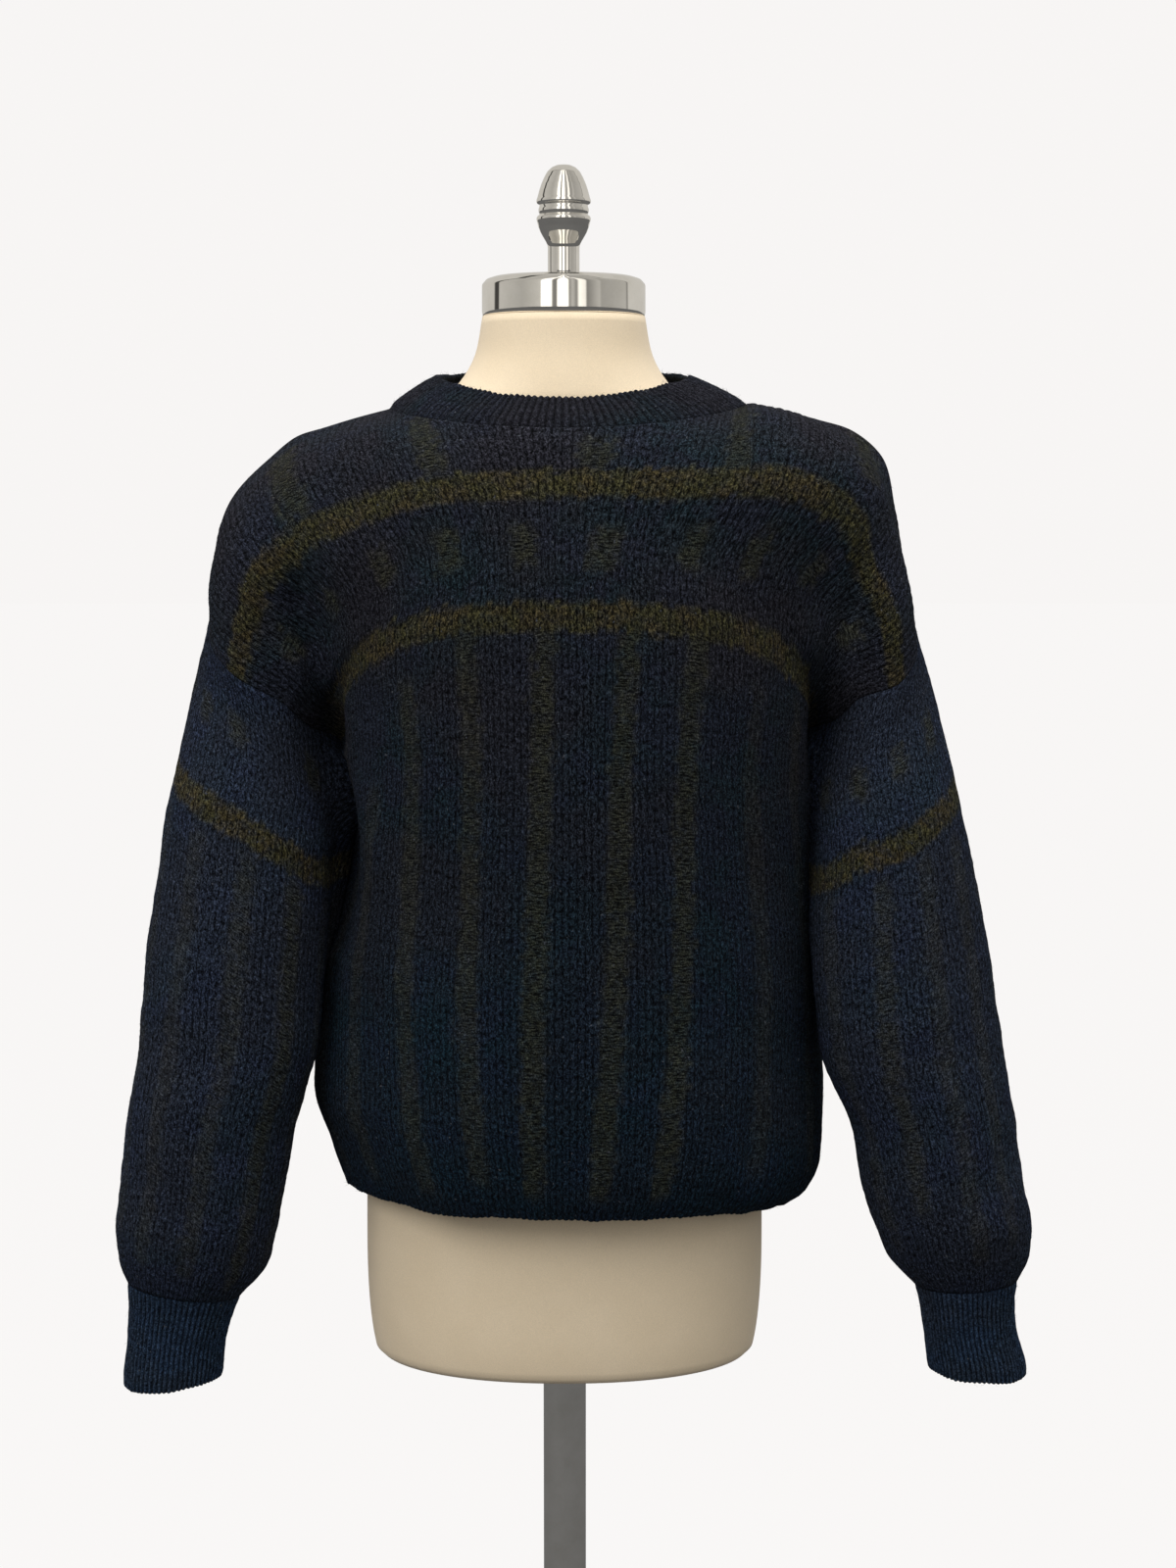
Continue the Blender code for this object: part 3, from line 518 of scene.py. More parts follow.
# soft folds: (x, z) places as seen from the front or back, half width, and height
frontFolds = (
    (((-0.191, 1.281), (-0.182, 1.231), (-0.173, 1.185), (-0.165, 1.150)), 0.010, -0.0080),
    (((-0.175, 1.150), (-0.174, 1.120), (-0.170, 1.090), (-0.167, 1.050), (-0.172, 1.005)),
     0.019, -0.0200),
    (((-0.146, 1.150), (-0.136, 1.109), (-0.128, 1.072), (-0.128, 1.045), (-0.136, 1.000)),
     0.009, 0.0022),
    (((-0.214, 1.300), (-0.204, 1.235), (-0.196, 1.190)), 0.016, 0.0030),
    (((0.2116, 1.306), (0.2054, 1.269), (0.195, 1.238), (0.187, 1.201), (0.182, 1.150)),
     0.006, -0.0060),
    (((0.200, 1.300), (0.190, 1.255), (0.178, 1.215)), 0.012, 0.0035),
    (((-0.120, 1.170), (-0.102, 1.110), (-0.095, 1.030)), 0.022, -0.0026),
    (((0.155, 1.190), (0.130, 1.110), (0.125, 1.020)), 0.024, -0.0028),
    (((-0.060, 1.215), (-0.075, 1.100), (-0.070, 0.960)), 0.026, -0.0018),
    (((0.040, 1.190), (0.045, 1.060), (0.030, 0.930)), 0.030, -0.0016),
    (((-0.125, 1.000), (-0.118, 0.930), (-0.125, 0.875)), 0.016, -0.0022),
    (((0.135, 0.915), (0.131, 0.880), (0.134, 0.852)), 0.006, -0.0035),
    (((0.100, 0.846), (0.112, 0.842), (0.122, 0.843)), 0.005, -0.0030),
    (((0.085, 0.960), (0.092, 0.905), (0.088, 0.860)), 0.018, 0.0018),
    (((-0.040, 0.940), (-0.045, 0.890), (-0.040, 0.850)), 0.020, 0.0015),
)
backFolds = (
    (((-0.190, 1.290), (-0.172, 1.230), (-0.160, 1.165)), 0.010, -0.0050),
    (((0.195, 1.285), (0.178, 1.228), (0.166, 1.160)), 0.010, -0.0055),
    (((-0.130, 1.330), (-0.140, 1.260), (-0.120, 1.190)), 0.022, -0.0024),
    (((0.135, 1.335), (0.142, 1.270), (0.128, 1.200)), 0.020, -0.0026),
    (((-0.080, 1.200), (-0.070, 1.060), (-0.082, 0.930)), 0.026, -0.0026),
    (((0.060, 1.210), (0.072, 1.080), (0.060, 0.950)), 0.024, -0.0024),
    (((0.000, 1.100), (-0.008, 0.990), (0.004, 0.890)), 0.028, 0.0020),
    (((-0.140, 1.060), (-0.130, 0.980), (-0.138, 0.900)), 0.018, -0.0026),
    (((0.138, 1.040), (0.128, 0.960), (0.136, 0.880)), 0.020, -0.0024),
    (((-0.060, 1.365), (0.000, 1.350), (0.055, 1.364)), 0.014, -0.0014),
    (((-0.035, 0.900), (-0.030, 0.870), (-0.034, 0.845)), 0.012, -0.0020),
    (((0.105, 0.905), (0.098, 0.870), (0.104, 0.840)), 0.012, -0.0022),
)


# height of the folds at each point of a grid, by its place in the plane of two axes
def foldHeight(points, folds, axes=(0, 2)):
    flat = points[..., axes]
    total = np.zeros(points.shape[:2])
    for path, width, height in folds:
        path = np.asarray(path)
        nearest = np.full(total.shape, 9.0)
        place = np.zeros(total.shape)
        for k in range(len(path) - 1):
            step = path[k + 1] - path[k]
            share = np.clip(((flat - path[k]) @ step) / (step @ step), 0, 1)
            gap = np.linalg.norm(flat - path[k] - share[..., None] * step, axis=-1)
            closer = gap < nearest
            nearest = np.where(closer, gap, nearest)
            place = np.where(closer, (k + share) / (len(path) - 1), place)
        taper = 0.15 + 0.85 * np.sin(np.pi * place) ** 0.7
        total += height * taper * near(nearest, width)
    return total


def stitchUnevenness(shape, ring=False):
    pucker = relief["pucker"] * lumps(shape, 5, 2.5, ring)
    return pucker + relief["yarn"] * lumps(shape, 0.9, 0.6, ring)


# a grid moved out along its normals, both walls together, with its new normals
def folded(grid, height, flip=1.0, ring=False):
    moved = grid + gridNormals(grid, ring) * flip * height[..., None]
    return moved, gridNormals(moved, ring) * flip


def waleRidge(wale):
    return relief["wale"] * (np.sin(np.pi * (wale % 1.0)) ** 0.8 - 0.5)


# stripes and dashes

pattern = {
    "stripeHalf": 0.0102,       # half width of the two level stripes
    "stripeSoft": 0.0007,
    "endSoft": 0.0020,          # soft ends of an upright line, and of a dash
    "dashSoft": 0.0012,
    "wobble": 0.0014,           # how far a stitch may stray over an edge
    "lineShare": 0.62,          # olive of a line or block beside a stripe's
    "stripes": (0.430, 0.5195),
    # upright lines below the lower stripe: wale at the top and at the hem, from and to
    # course, strength
    "lineFoot": 0.02,
    "lineRise": 0.40,
    "lines": ((-44.0, -44.0, 0.02, 0.38, 0.35), (-31.0, -34.5, 0.02, 0.32, 0.5),
              (-24.5, -22.0, 0.02, 0.395, 0.75), (-14.0, -12.6, 0.03, 0.422, 0.8),
              (-2.6, -4.4, 0.02, 0.422, 1.0), (9.3, 5.4, 0.02, 0.422, 1.0),
              (19.2, 14.2, 0.02, 0.422, 1.0), (30.0, 29.8, 0.03, 0.40, 0.4),
              (40.5, 43.5, 0.03, 0.41, 0.45)),
    # dashes between and above the stripes: wale, from course, to course, half width
    "dashes": ((-39.8, 0.474, 0.490, 1.5), (-28.0, 0.470, 0.492, 1.6), (-17.1, 0.466, 0.492, 1.8),
               (-5.6, 0.463, 0.492, 1.7), (5.7, 0.462, 0.490, 2.0), (18.2, 0.464, 0.492, 1.5),
               (27.6, 0.466, 0.492, 1.5), (37.6, 0.474, 0.496, 1.5), (-50.0, 0.476, 0.494, 1.5),
               (49.0, 0.476, 0.494, 1.5), (-15.2, 0.532, 0.600, 1.6), (3.3, 0.530, 0.553, 1.7),
               (20.0, 0.530, 0.640, 1.5), (-35.4, 0.533, 0.608, 1.8), (36.0, 0.555, 0.625, 1.6)),
}


def step(values, edge, soft):
    return 1 / (1 + np.exp(-np.clip((values - edge) / soft, -30, 30)))


def band(values, low, high, soft):
    return step(values, low, soft) * step(-values, -high, soft)


# a stitch-sized wobble, so that stripes end in whole stitches
def stitchNoise(wale, course):
    table = rand.standard_normal((256, 512))
    i = np.floor(wale).astype(int) % 256
    j = np.floor(course / cut["stitch"]).astype(int) % 512
    return table[i, j] * pattern["wobble"]


# Olive and upright-line shares of each stitch. place is how far across it is, height how
# far along its piece; sizes gives the half width, softness and wobble of the edges.
def marks(place, height, wobble, stripes, lines, dashes, sizes):
    olive = np.zeros(height.shape)
    upright = np.zeros(height.shape)
    half = pattern["stripeHalf"]
    for centre in stripes:
        stripe = band(height + wobble, centre - half, centre + half, pattern["stripeSoft"])
        olive = np.maximum(olive, stripe)
    half = sizes["lineHalf"]
    across = place + wobble * sizes["lineWobble"]
    for middle, start, end, strength in lines:
        edge = band(across, middle - half, middle + half, sizes["lineSoft"])
        line = strength * edge * band(height, start, end, pattern["endSoft"])
        upright = np.maximum(upright, line)
    across = place + wobble * sizes["dashWobble"]
    for middle, start, end, half in dashes:
        edge = band(across, middle - half, middle + half, sizes["dashSoft"])
        along = height + wobble * sizes["endWobble"]
        upright = np.maximum(upright, edge * band(along, start, end, pattern["dashSoft"]))
    return np.maximum(olive, pattern["lineShare"] * upright), upright


bodyMarks = {"lineHalf": 1.5, "lineSoft": 0.22, "lineWobble": 220,
             "dashSoft": 0.25, "dashWobble": 300, "endWobble": 1.5}


def bodyOlive(wale, course, face):
    drift = np.clip((course - pattern["lineFoot"]) / pattern["lineRise"], 0, 1)
    drift = drift * (face == "front")
    lines = [(hem + (top - hem) * drift, start, end, strength)
             for top, hem, start, end, strength in pattern["lines"]]
    return marks(wale, course, stitchNoise(wale, course), pattern["stripes"], lines,
                 pattern["dashes"], bodyMarks)


sleeveMarks = {"lineHalf": 0.033, "lineSoft": 0.006, "lineWobble": 5,
               "dashHalf": 0.037, "dashSoft": 0.007, "dashWobble": 7, "endWobble": 1.0,
               "lineTop": 0.12, "lineFall": 0.32}
sleevePattern = {
    # lines: share of the way round from the outer line to the underarm, at the top and at
    # the cuff, from and to distance below the armhole, strength; dashes: share, from and to
    "right": {
        "stripe": 0.110,
        "lines": ((0.345, 0.300, 0.128, 0.450, 0.5), (0.545, 0.505, 0.126, 0.440, 0.7),
                  (0.735, 0.735, 0.124, 0.430, 1.0), (0.13, 0.12, 0.13, 0.44, 0.45),
                  (0.93, 0.93, 0.13, 0.40, 0.5)),
        "dashes": ((0.43, 0.034, 0.056), (0.80, 0.024, 0.047), (0.06, 0.036, 0.058),
                   (0.245, 0.036, 0.058)),
    },
    "left": {
        "stripe": 0.120,
        "lines": ((0.400, 0.430, 0.136, 0.430, 0.6), (0.575, 0.640, 0.136, 0.380, 0.8),
                  (0.815, 0.800, 0.134, 0.400, 0.5), (0.22, 0.27, 0.14, 0.435, 0.55),
                  (0.04, 0.04, 0.14, 0.44, 0.4)),
        "dashes": ((0.62, 0.052, 0.079), (0.24, 0.050, 0.074), (0.43, 0.050, 0.074),
                   (0.82, 0.046, 0.066)),
    },
}


def sleeveOlive(share, length, side, wale):
    found = sleevePattern[side]
    drift = np.clip((length - sleeveMarks["lineTop"]) / sleeveMarks["lineFall"], 0, 1)
    lines = [(top + (end - top) * drift, start, stop, strength)
             for top, end, start, stop, strength in found["lines"]]
    dashes = [(*dash, sleeveMarks["dashHalf"]) for dash in found["dashes"]]
    return marks(share, length, stitchNoise(wale, length), (found["stripe"],), lines, dashes,
                 sleeveMarks)


# materials

def newMaterial(name, roughness, specular):
    paint = bpy.data.materials.new(name)
    paint.use_nodes = True
    surface = paint.node_tree.nodes["Principled BSDF"]
    surface.inputs["Roughness"].default_value = roughness
    surface.inputs["Specular IOR Level"].default_value = specular
    return paint, paint.node_tree, surface


def node(tree, kind, **settings):
    made = tree.nodes.new("ShaderNode" + kind)
    for name, value in settings.items():
        setattr(made, name, value)
    return made


def maths(tree, kind, first, second=None, third=None, clamp=False):
    made = node(tree, "Math", operation=kind, use_clamp=clamp)
    for socket, value in zip(made.inputs, (first, second, third)):
        if value is None:
            continue
        if isinstance(value, (int, float)):
            socket.default_value = value
        else:
            tree.links.new(value, socket)
    return made.outputs[0]


def mixed(tree, share, first, second, kind="MIX"):
    made = node(tree, "Mix", data_type="RGBA", blend_type=kind)
    for place, value in ((0, share), (6, first), (7, second)):
        socket = made.inputs[place]
        if isinstance(value, (int, float)):
            socket.default_value = value
        elif isinstance(value, tuple):
            socket.default_value = (*value, 1.0)
        else:
            tree.links.new(value, socket)
    return made.outputs[2]


def noise(tree, vector, scale, detail=2.0, roughness=0.5):
    made = node(tree, "TexNoise")
    made.inputs["Scale"].default_value = scale
    made.inputs["Detail"].default_value = detail
    made.inputs["Roughness"].default_value = roughness
    if vector is not None:
        tree.links.new(vector, made.inputs["Vector"])
    return made.outputs["Fac"]


def ranged(tree, value, low, high, toLow=0.0, toHigh=1.0):
    made = node(tree, "MapRange")
    for place, number in enumerate((low, high, toLow, toHigh), 1):
        made.inputs[place].default_value = number
    tree.links.new(value, made.inputs["Value"])
    return made.outputs["Result"]


# a colour made lighter or darker by a share
def shaded(tree, colour, light):
    grey = node(tree, "CombineColor")
    for socket in grey.inputs:
        tree.links.new(light, socket)
    return mixed(tree, 1.0, colour, grey.outputs[0], "MULTIPLY")


def bumped(tree, surface, height, strength, distance):
    bump = node(tree, "Bump")
    bump.inputs["Strength"].default_value = strength
    bump.inputs["Distance"].default_value = distance
    tree.links.new(height, bump.inputs["Height"])
    tree.links.new(bump.outputs[0], surface.inputs["Normal"])


def stretched(tree, vector, across, up, along=1.0):
    made = node(tree, "VectorMath", operation="MULTIPLY")
    tree.links.new(vector, made.inputs[0])
    made.inputs[1].default_value = (across, up, along)
    return made.outputs[0]


wool = {
    "body": ((0.0105, 0.0124, 0.0190), (0.0078, 0.0138, 0.0178), (0.0120, 0.0120, 0.0158)),
    "hemShade": (0.45, 0.80, 0.98),      # painted shade: how much of the tints' red, green and blue the hem keeps
    "hemShadeCourses": (8.0, 108.0),         # stitches up from the hem over which that painted shade fades
    "sleeve": ((0.0120, 0.0165, 0.0300), (0.0105, 0.0170, 0.0265), (0.0128, 0.0162, 0.0250)),
    "band": ((0.0145, 0.0265, 0.0500), (0.0140, 0.0255, 0.0430), (0.0175, 0.0245, 0.0390)),
    "stripe": ((0.0285, 0.0265, 0.0115), (0.0325, 0.0262, 0.0118)),
    "line": (0.0190, 0.0188, 0.0082),
    "hair": (0.060, 0.066, 0.078),
    "tintGrain": 26.0,                  # how fine each kind of unevenness is
    "toneGrain": 13.0,
    "brownGrain": 45.0,
    "wornGrain": 160.0,
    "fibreGrain": 950.0,
    "fleckGrain": 380.0,
    "flecks": (0.750, 0.79),            # a higher pair leaves fewer flecks
    "sheen": 0.015,
    "bump": 0.9,
}
# how strokes and stitch columns look on plain knit and on ribs, with the painted shade between the
# columns and the painted highlight on their crests
plainKnit = {"grain": (3.2, 1.15), "strokes": (0.18, 1.95), "valleyShadePower": 3.0,
             "leastValleyShade": 0.15, "crest": 1.15}
ribKnit = {"grain": (2.4, 0.8), "strokes": (0.50, 1.50), "valleyShadePower": 1.6,
           "leastValleyShade": 0.75, "crest": 1.25}


# Marled wool in stockinette: uneven strokes up each stitch column, painted shade between the
# columns with a painted highlight on their crests, level strokes in the upright lines, tints that
# drift over the cloth, painted shade towards the hem if a hem tint is given, pale hairs.
def woolMaterial(name, tints, columnShade, kind=plainKnit, hemShadeTint=None):
    paint, tree, surface = newMaterial(name, 0.95, 0.03)
    knit = node(tree, "Attribute", attribute_name="knit").outputs["Vector"]
    olive = node(tree, "Attribute", attribute_name="olive").outputs["Fac"]
    place = node(tree, "TexCoord").outputs["Object"]
    parts = node(tree, "SeparateXYZ")
    tree.links.new(knit, parts.inputs[0])
    wale, course, upright = parts.outputs

    # painted shade in the valleys between the stitch columns, in patches and not on the upright
    # lines
    side = maths(tree, "ABSOLUTE", maths(tree, "SUBTRACT", maths(tree, "FRACT", wale), 0.5))
    valleyShade = maths(tree, "POWER", maths(tree, "MULTIPLY", side, 2.0), kind["valleyShadePower"])
    patchy = noise(tree, stretched(tree, knit, 1.1, 0.55), 1.0, 2.0)
    patchy = ranged(tree, patchy, 0.35, 0.60, kind["leastValleyShade"], 1.0)
    valleyShade = maths(tree, "MULTIPLY", valleyShade, patchy)
    plain = maths(tree, "SUBTRACT", 1.0, upright, clamp=True)
    valleyShade = maths(tree, "MULTIPLY", valleyShade, plain)

    # strokes of yarn, upright or level, and fibres
    stroke = noise(tree, stretched(tree, knit, *kind["grain"]), 1.0, 2.0, 0.6)
    stroke = ranged(tree, stroke, 0.36, 0.64)
    finer = noise(tree, stretched(tree, knit, 6.5, 2.6), 1.0, 1.0, 0.5)
    finer = ranged(tree, finer, 0.34, 0.66)
    level = noise(tree, stretched(tree, knit, 1.0, 3.0, 0.0), 1.0, 2.0, 0.6)
    level = ranged(tree, level, 0.38, 0.62)
    turned = node(tree, "Mix", data_type="FLOAT")
    for socket, value in ((0, upright), (2, stroke), (3, level)):
        tree.links.new(value, turned.inputs[socket])
    mark = turned.outputs[0]
    fibre = ranged(tree, noise(tree, place, wool["fibreGrain"], 2.0, 0.6), 0.32, 0.68)

    # drifting tints, then the olive yarn
    tint = ranged(tree, noise(tree, place, wool["tintGrain"], 3.0, 0.6), 0.42, 0.58)
    tone = ranged(tree, noise(tree, place, wool["toneGrain"], 3.0, 0.6), 0.42, 0.60)
    colour = mixed(tree, tint, tints[0], tints[1])
    colour = mixed(tree, tone, colour, tints[2])
    # painted shade: the body loses red and grows darker towards the hem, where less light falls
    # from above
    if hemShadeTint:
        low = ranged(tree, course, *wool["hemShadeCourses"], 1.0, 0.0)
        colour = mixed(tree, low, colour, hemShadeTint, "MULTIPLY")
    brown = ranged(tree, noise(tree, place, wool["brownGrain"], 2.0, 0.6), 0.44, 0.58)
    thread = mixed(tree, brown, *wool["stripe"])
    thread = mixed(tree, upright, thread, wool["line"])
    worn = noise(tree, place, wool["wornGrain"], 3.0, 0.7)
    worn = ranged(tree, worn, 0.32, 0.60, 0.45, 1.0)
    colour = mixed(tree, maths(tree, "MULTIPLY", olive, worn, clamp=True), colour, thread)

    light = ranged(tree, mark, 0.0, 1.0, *kind["strokes"])
    # fine strokes and fibres, then the painted shade in the valleys and the painted highlight on
    # the crests
    for value, dark, pale in ((finer, 0.42, 1.65), (fibre, 0.36, 1.72),
                              (valleyShade, kind["crest"], columnShade)):
        light = maths(tree, "MULTIPLY", light, ranged(tree, value, 0.0, 1.0, dark, pale))
    colour = shaded(tree, colour, light)
    fleck = noise(tree, place, wool["fleckGrain"], 1.0, 0.4)
    colour = mixed(tree, ranged(tree, fleck, *wool["flecks"]), colour, wool["hair"])
    tree.links.new(colour, surface.inputs["Base Color"])
    surface.inputs["Sheen Weight"].default_value = wool["sheen"]
    surface.inputs["Sheen Roughness"].default_value = 0.6
    surface.inputs["Sheen Tint"].default_value = (0.80, 0.84, 1.0, 1.0)
    height = maths(tree, "ADD", mark, maths(tree, "MULTIPLY", finer, 0.5))
    height = maths(tree, "ADD", height, maths(tree, "MULTIPLY", fibre, 0.5))
    bumped(tree, surface, height, wool["bump"], 0.0008)
    return paint


linen = {"cream": (0.80, 0.66, 0.47), "shadow": (0.73, 0.59, 0.40), "weave": 1300.0}
metal = {"clean": (0.90, 0.88, 0.84), "handled": (0.80, 0.78, 0.73), "roughness": (0.02, 0.07)}


def linenMaterial():
    paint, tree, surface = newMaterial("creamLinen", 0.8, 0.2)
    place = node(tree, "TexCoord").outputs["Object"]
    broad = ranged(tree, noise(tree, place, 22.0, 3.0, 0.6), 0.35, 0.65)
    thread = noise(tree, place, linen["weave"], 2.0, 0.6)
    colour = mixed(tree, broad, linen["cream"], linen["shadow"])
    colour = mixed(tree, 0.35, linen["cream"], colour)
    colour = shaded(tree, colour, ranged(tree, thread, 0.3, 0.7, 0.93, 1.05))
    tree.links.new(colour, surface.inputs["Base Color"])
    surface.inputs["Sheen Weight"].default_value = 0.15
    bumped(tree, surface, thread, 0.25, 0.0002)
    return paint


def chromeMaterial():
    paint, tree, surface = newMaterial("polishedChrome", 0.06, 0.5)
    surface.inputs["Metallic"].default_value = 1.0
    place = node(tree, "TexCoord").outputs["Object"]
    smear = noise(tree, place, 45.0, 4.0, 0.65)
    colour = mixed(tree, ranged(tree, smear, 0.35, 0.7), metal["clean"], metal["handled"])
    tree.links.new(colour, surface.inputs["Base Color"])
    rough = ranged(tree, smear, 0.4, 0.8, *metal["roughness"])
    tree.links.new(rough, surface.inputs["Roughness"])
    return paint


bodyWool = woolMaterial("navyWoolBody", wool["body"], 0.12, hemShadeTint=wool["hemShade"])
sleeveWool = woolMaterial("navyWoolSleeve", wool["sleeve"], 0.15)
ribWool = woolMaterial("navyWoolRib", wool["band"], 0.10, ribKnit)
neckWool = woolMaterial("charcoalWoolRib", wool["body"], 0.10, ribKnit)
creamLinen = linenMaterial()
chrome = chromeMaterial()
print("materials made")


def finish(piece, cadNode):
    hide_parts(cadNode)
    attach(piece, "root")
    return piece


# how far each point of a panel is from its side and top seams
def fromSeams(grid):
    up = lengthUp(grid)
    across = lengthUp(grid.transpose(1, 0, 2)).T
    return np.minimum(np.minimum(across, across[-1:] - across), up[:, -1:] - up)


# moves points of a grid off the outside of other pieces; far is where they may touch
def keepClear(grid, trees, far, gap=0.0012, reach=0.014):
    moved = grid.copy()
    for i, j in zip(*np.nonzero(far)):
        for tree in trees:
            here = Vector(moved[i, j])
            place, normal, index, distance = tree.find_nearest(here, reach)
            away = gap if place is None else (here - place).dot(normal)
            if away < gap:
                moved[i, j] += np.asarray(normal) * (gap - away)
    return moved


# a ribbed band on its smooth grid: plain beside its seam, rounded at its free edge
def ribbedBand(name, grid, sizes, material, cadNode, flip=1.0):
    normals = gridNormals(grid, True) * flip
    phase = np.arange(len(grid)) / sizes["samples"]
    phase = np.repeat(phase[:, None], grid.shape[1], axis=1)
    length = lengthUp(grid)
    rib = 0.5 - 0.5 * np.cos(2 * math.pi * phase)
    calm = clear(length, bandSeam["calm"])
    height = sizes["ribHeight"] * (rib ** 0.8 - 0.3) * calm
    soft = sizes["sag"] * lumps(grid.shape[:2], 10, 5, True) * calm
    height += soft + relief["yarn"] * lumps(grid.shape[:2], 1, 0.8, True)
    height -= sizes["seam"] * near(length, bandSeam["width"])
    numbers = (phase, length / bandSeam["stitch"], 0 * phase, 0 * phase)
    piece = knitShell(name, grid, normals, height, numbers, material, ring=True, free="last",
                      skip=(4, 4), reverse=flip < 0)
    return finish(piece, cadNode)


bandSeam = {"calm": 0.004, "width": 0.003, "stitch": 0.0036}
hemRoll = {"out": 0.0008, "width": 0.004}

panels = {face: panel(face) for face in ("front", "back")}
garment = {}
for face, folds in (("front", frontFolds), ("back", backFolds)):
    grid, wale, course = panels[face]
    gap = fromSeams(grid)
    drape = relief["drape"] * lumps(grid.shape[:2], 26, 12) + foldHeight(grid, folds)
    grid, normals = folded(grid, drape * clear(gap, relief["drapeCalm"]))
    height = waleRidge(wale) + stitchUnevenness(grid.shape[:2])
    height *= clear(gap, relief["calm"])
    height -= relief["seam"] * near(gap, relief["seamWidth"])
    height += hemRoll["out"] * near(course, hemRoll["width"])
    numbers = (wale, course / cut["stitch"], *bodyOlive(wale, course, face))
    piece = knitShell(face + "Panel", grid, normals, height, numbers, bodyWool, free="first")
    garment[face] = finish(piece, face)
    print(face, "made", len(piece.data.polygons))

sleeveFolds = {
    "right": ((((-0.250, 1.120), (-0.235, 1.080), (-0.215, 1.050)), 0.014, -0.0030),
              (((-0.290, 0.960), (-0.262, 0.940), (-0.235, 0.935)), 0.018, -0.0022),
              (((-0.300, 0.860), (-0.275, 0.835), (-0.245, 0.828)), 0.016, -0.0026),
              (((-0.262, 1.030), (-0.270, 0.930), (-0.285, 0.830)), 0.020, 0.0022)),
    "left": ((((0.255, 1.120), (0.240, 1.080), (0.222, 1.050)), 0.014, -0.0030),
             (((0.300, 0.980), (0.275, 0.950), (0.245, 0.940)), 0.018, -0.0022),
             (((0.325, 0.880), (0.295, 0.850), (0.262, 0.842)), 0.016, -0.0026),
             (((0.250, 1.070), (0.262, 0.960), (0.285, 0.860)), 0.018, 0.0026)),
}
# where a sleeve's inner side leans on the body, behind its front edge: (y, z) places
leanFold = ((((-0.004, 1.230), (-0.004, 1.165), (-0.005, 1.100), (-0.012, 1.030), (-0.014, 0.975)),
             0.015, 0.0220),)
leanReach = {"from": 0.72, "soft": 0.05,        # share of the way round to the underarm
             "below": 0.012, "within": 0.235}   # what is kept clear of the body

graph = bpy.context.evaluated_depsgraph_get()
panelTrees = [BVHTree.FromObject(garment[face], graph) for face in ("front", "back")]
for side, flip in (("right", 1.0), ("left", -1.0)):
    ring = armholeRing(panels["front"][0], panels["back"][0], panels["front"][2], side,
                       sleeveCut["around"])
    grid = sleeveGrid(ring, side)
    count = len(grid)
    index = np.arange(count)
    share = np.abs(index - count / 2) / (count / 2)
    wale = np.where(index <= count / 2, 1, -1) * share * sleeveCut["wales"]
    wale, share = (np.repeat(n[:, None], grid.shape[1], axis=1) for n in (wale, share))
    length = lengthUp(grid)
    gap = np.minimum(length, length[:, -1:] - length + 0.002)
    drape = relief["drape"] * lumps(grid.shape[:2], 26, 12, True)
    drape += foldHeight(grid, sleeveFolds[side])
    drape += foldHeight(grid, leanFold, (1, 2)) * step(share, leanReach["from"], leanReach["soft"])
    grid, normals = folded(grid, drape * clear(gap, relief["drapeCalm"]), flip, True)
    beside = (gap > leanReach["below"]) & (np.abs(grid[..., 0]) < leanReach["within"])
    grid = keepClear(grid, panelTrees, beside)
    normals = gridNormals(grid, True) * flip
    height = waleRidge(wale) + stitchUnevenness(grid.shape[:2], True)
    height *= clear(gap, relief["calm"])
    height -= relief["seam"] * near(gap, relief["seamWidth"])
    numbers = (wale, length / cut["stitch"], *sleeveOlive(share, length, side, wale))
    piece = knitShell(side + "Sleeve", grid, normals, height, numbers, sleeveWool, ring=True,
                      reverse=flip < 0)
    garment["sleeve_" + side] = finish(piece, "sleeve_" + side)
    print(side, "sleeve made", len(piece.data.polygons))
    garment["cuff_" + side] = ribbedBand(side + "Cuff", cuffGrid(grid[:, -1], side), cuffCut,
                                         ribWool, "cuff_" + side, flip)

garment["neckband"] = ribbedBand("neckBand", neckGrid(), neck, neckWool, "neckband")
print("bands made")

# Soft nap: fine tapered hairs that lie on the knit and stand a little off it.
nap = {
    "hairs": {"front": 6000, "back": 4200, "sleeve_right": 2700, "sleeve_left": 2700,
              "neckband": 3000, "cuff_right": 450, "cuff_left": 450},
    "length": (0.0025, 0.0075),
    "radius": 0.00007,
    "lift": 0.30,               # how far a hair stands up, as a share of its length
    "dark": (0.016, 0.019, 0.026),
    "pale": (0.045, 0.048, 0.056),
}


def napMaterial():
    paint, tree, surface = newMaterial("napHair", 0.9, 0.05)
    place = node(tree, "TexCoord").outputs["Object"]
    share = ranged(tree, noise(tree, place, 60.0, 2.0, 0.6), 0.40, 0.62)
    colour = mixed(tree, share, nap["dark"], nap["pale"])
    tree.links.new(colour, surface.inputs["Base Color"])
    return paint


# places on random outer faces of a piece, with the cloth's normal there
def rootsOf(piece, count):
    mesh = piece.data
    corners = np.empty(len(mesh.vertices) * 3)
    mesh.vertices.foreach_get("co", corners)
    corners = corners.reshape(-1, 3)
    chosen = rand.integers(0, outerCounts[piece.name], count)
    quads = np.array([mesh.polygons[int(face)].vertices[:3] for face in chosen])
    a, b, c = (corners[quads[:, k]] for k in range(3))
    u, v = rand.random((2, count, 1)) * 0.7
    return a + (b - a) * u + (c - b) * v, unit(np.cross(b - a, c - b))


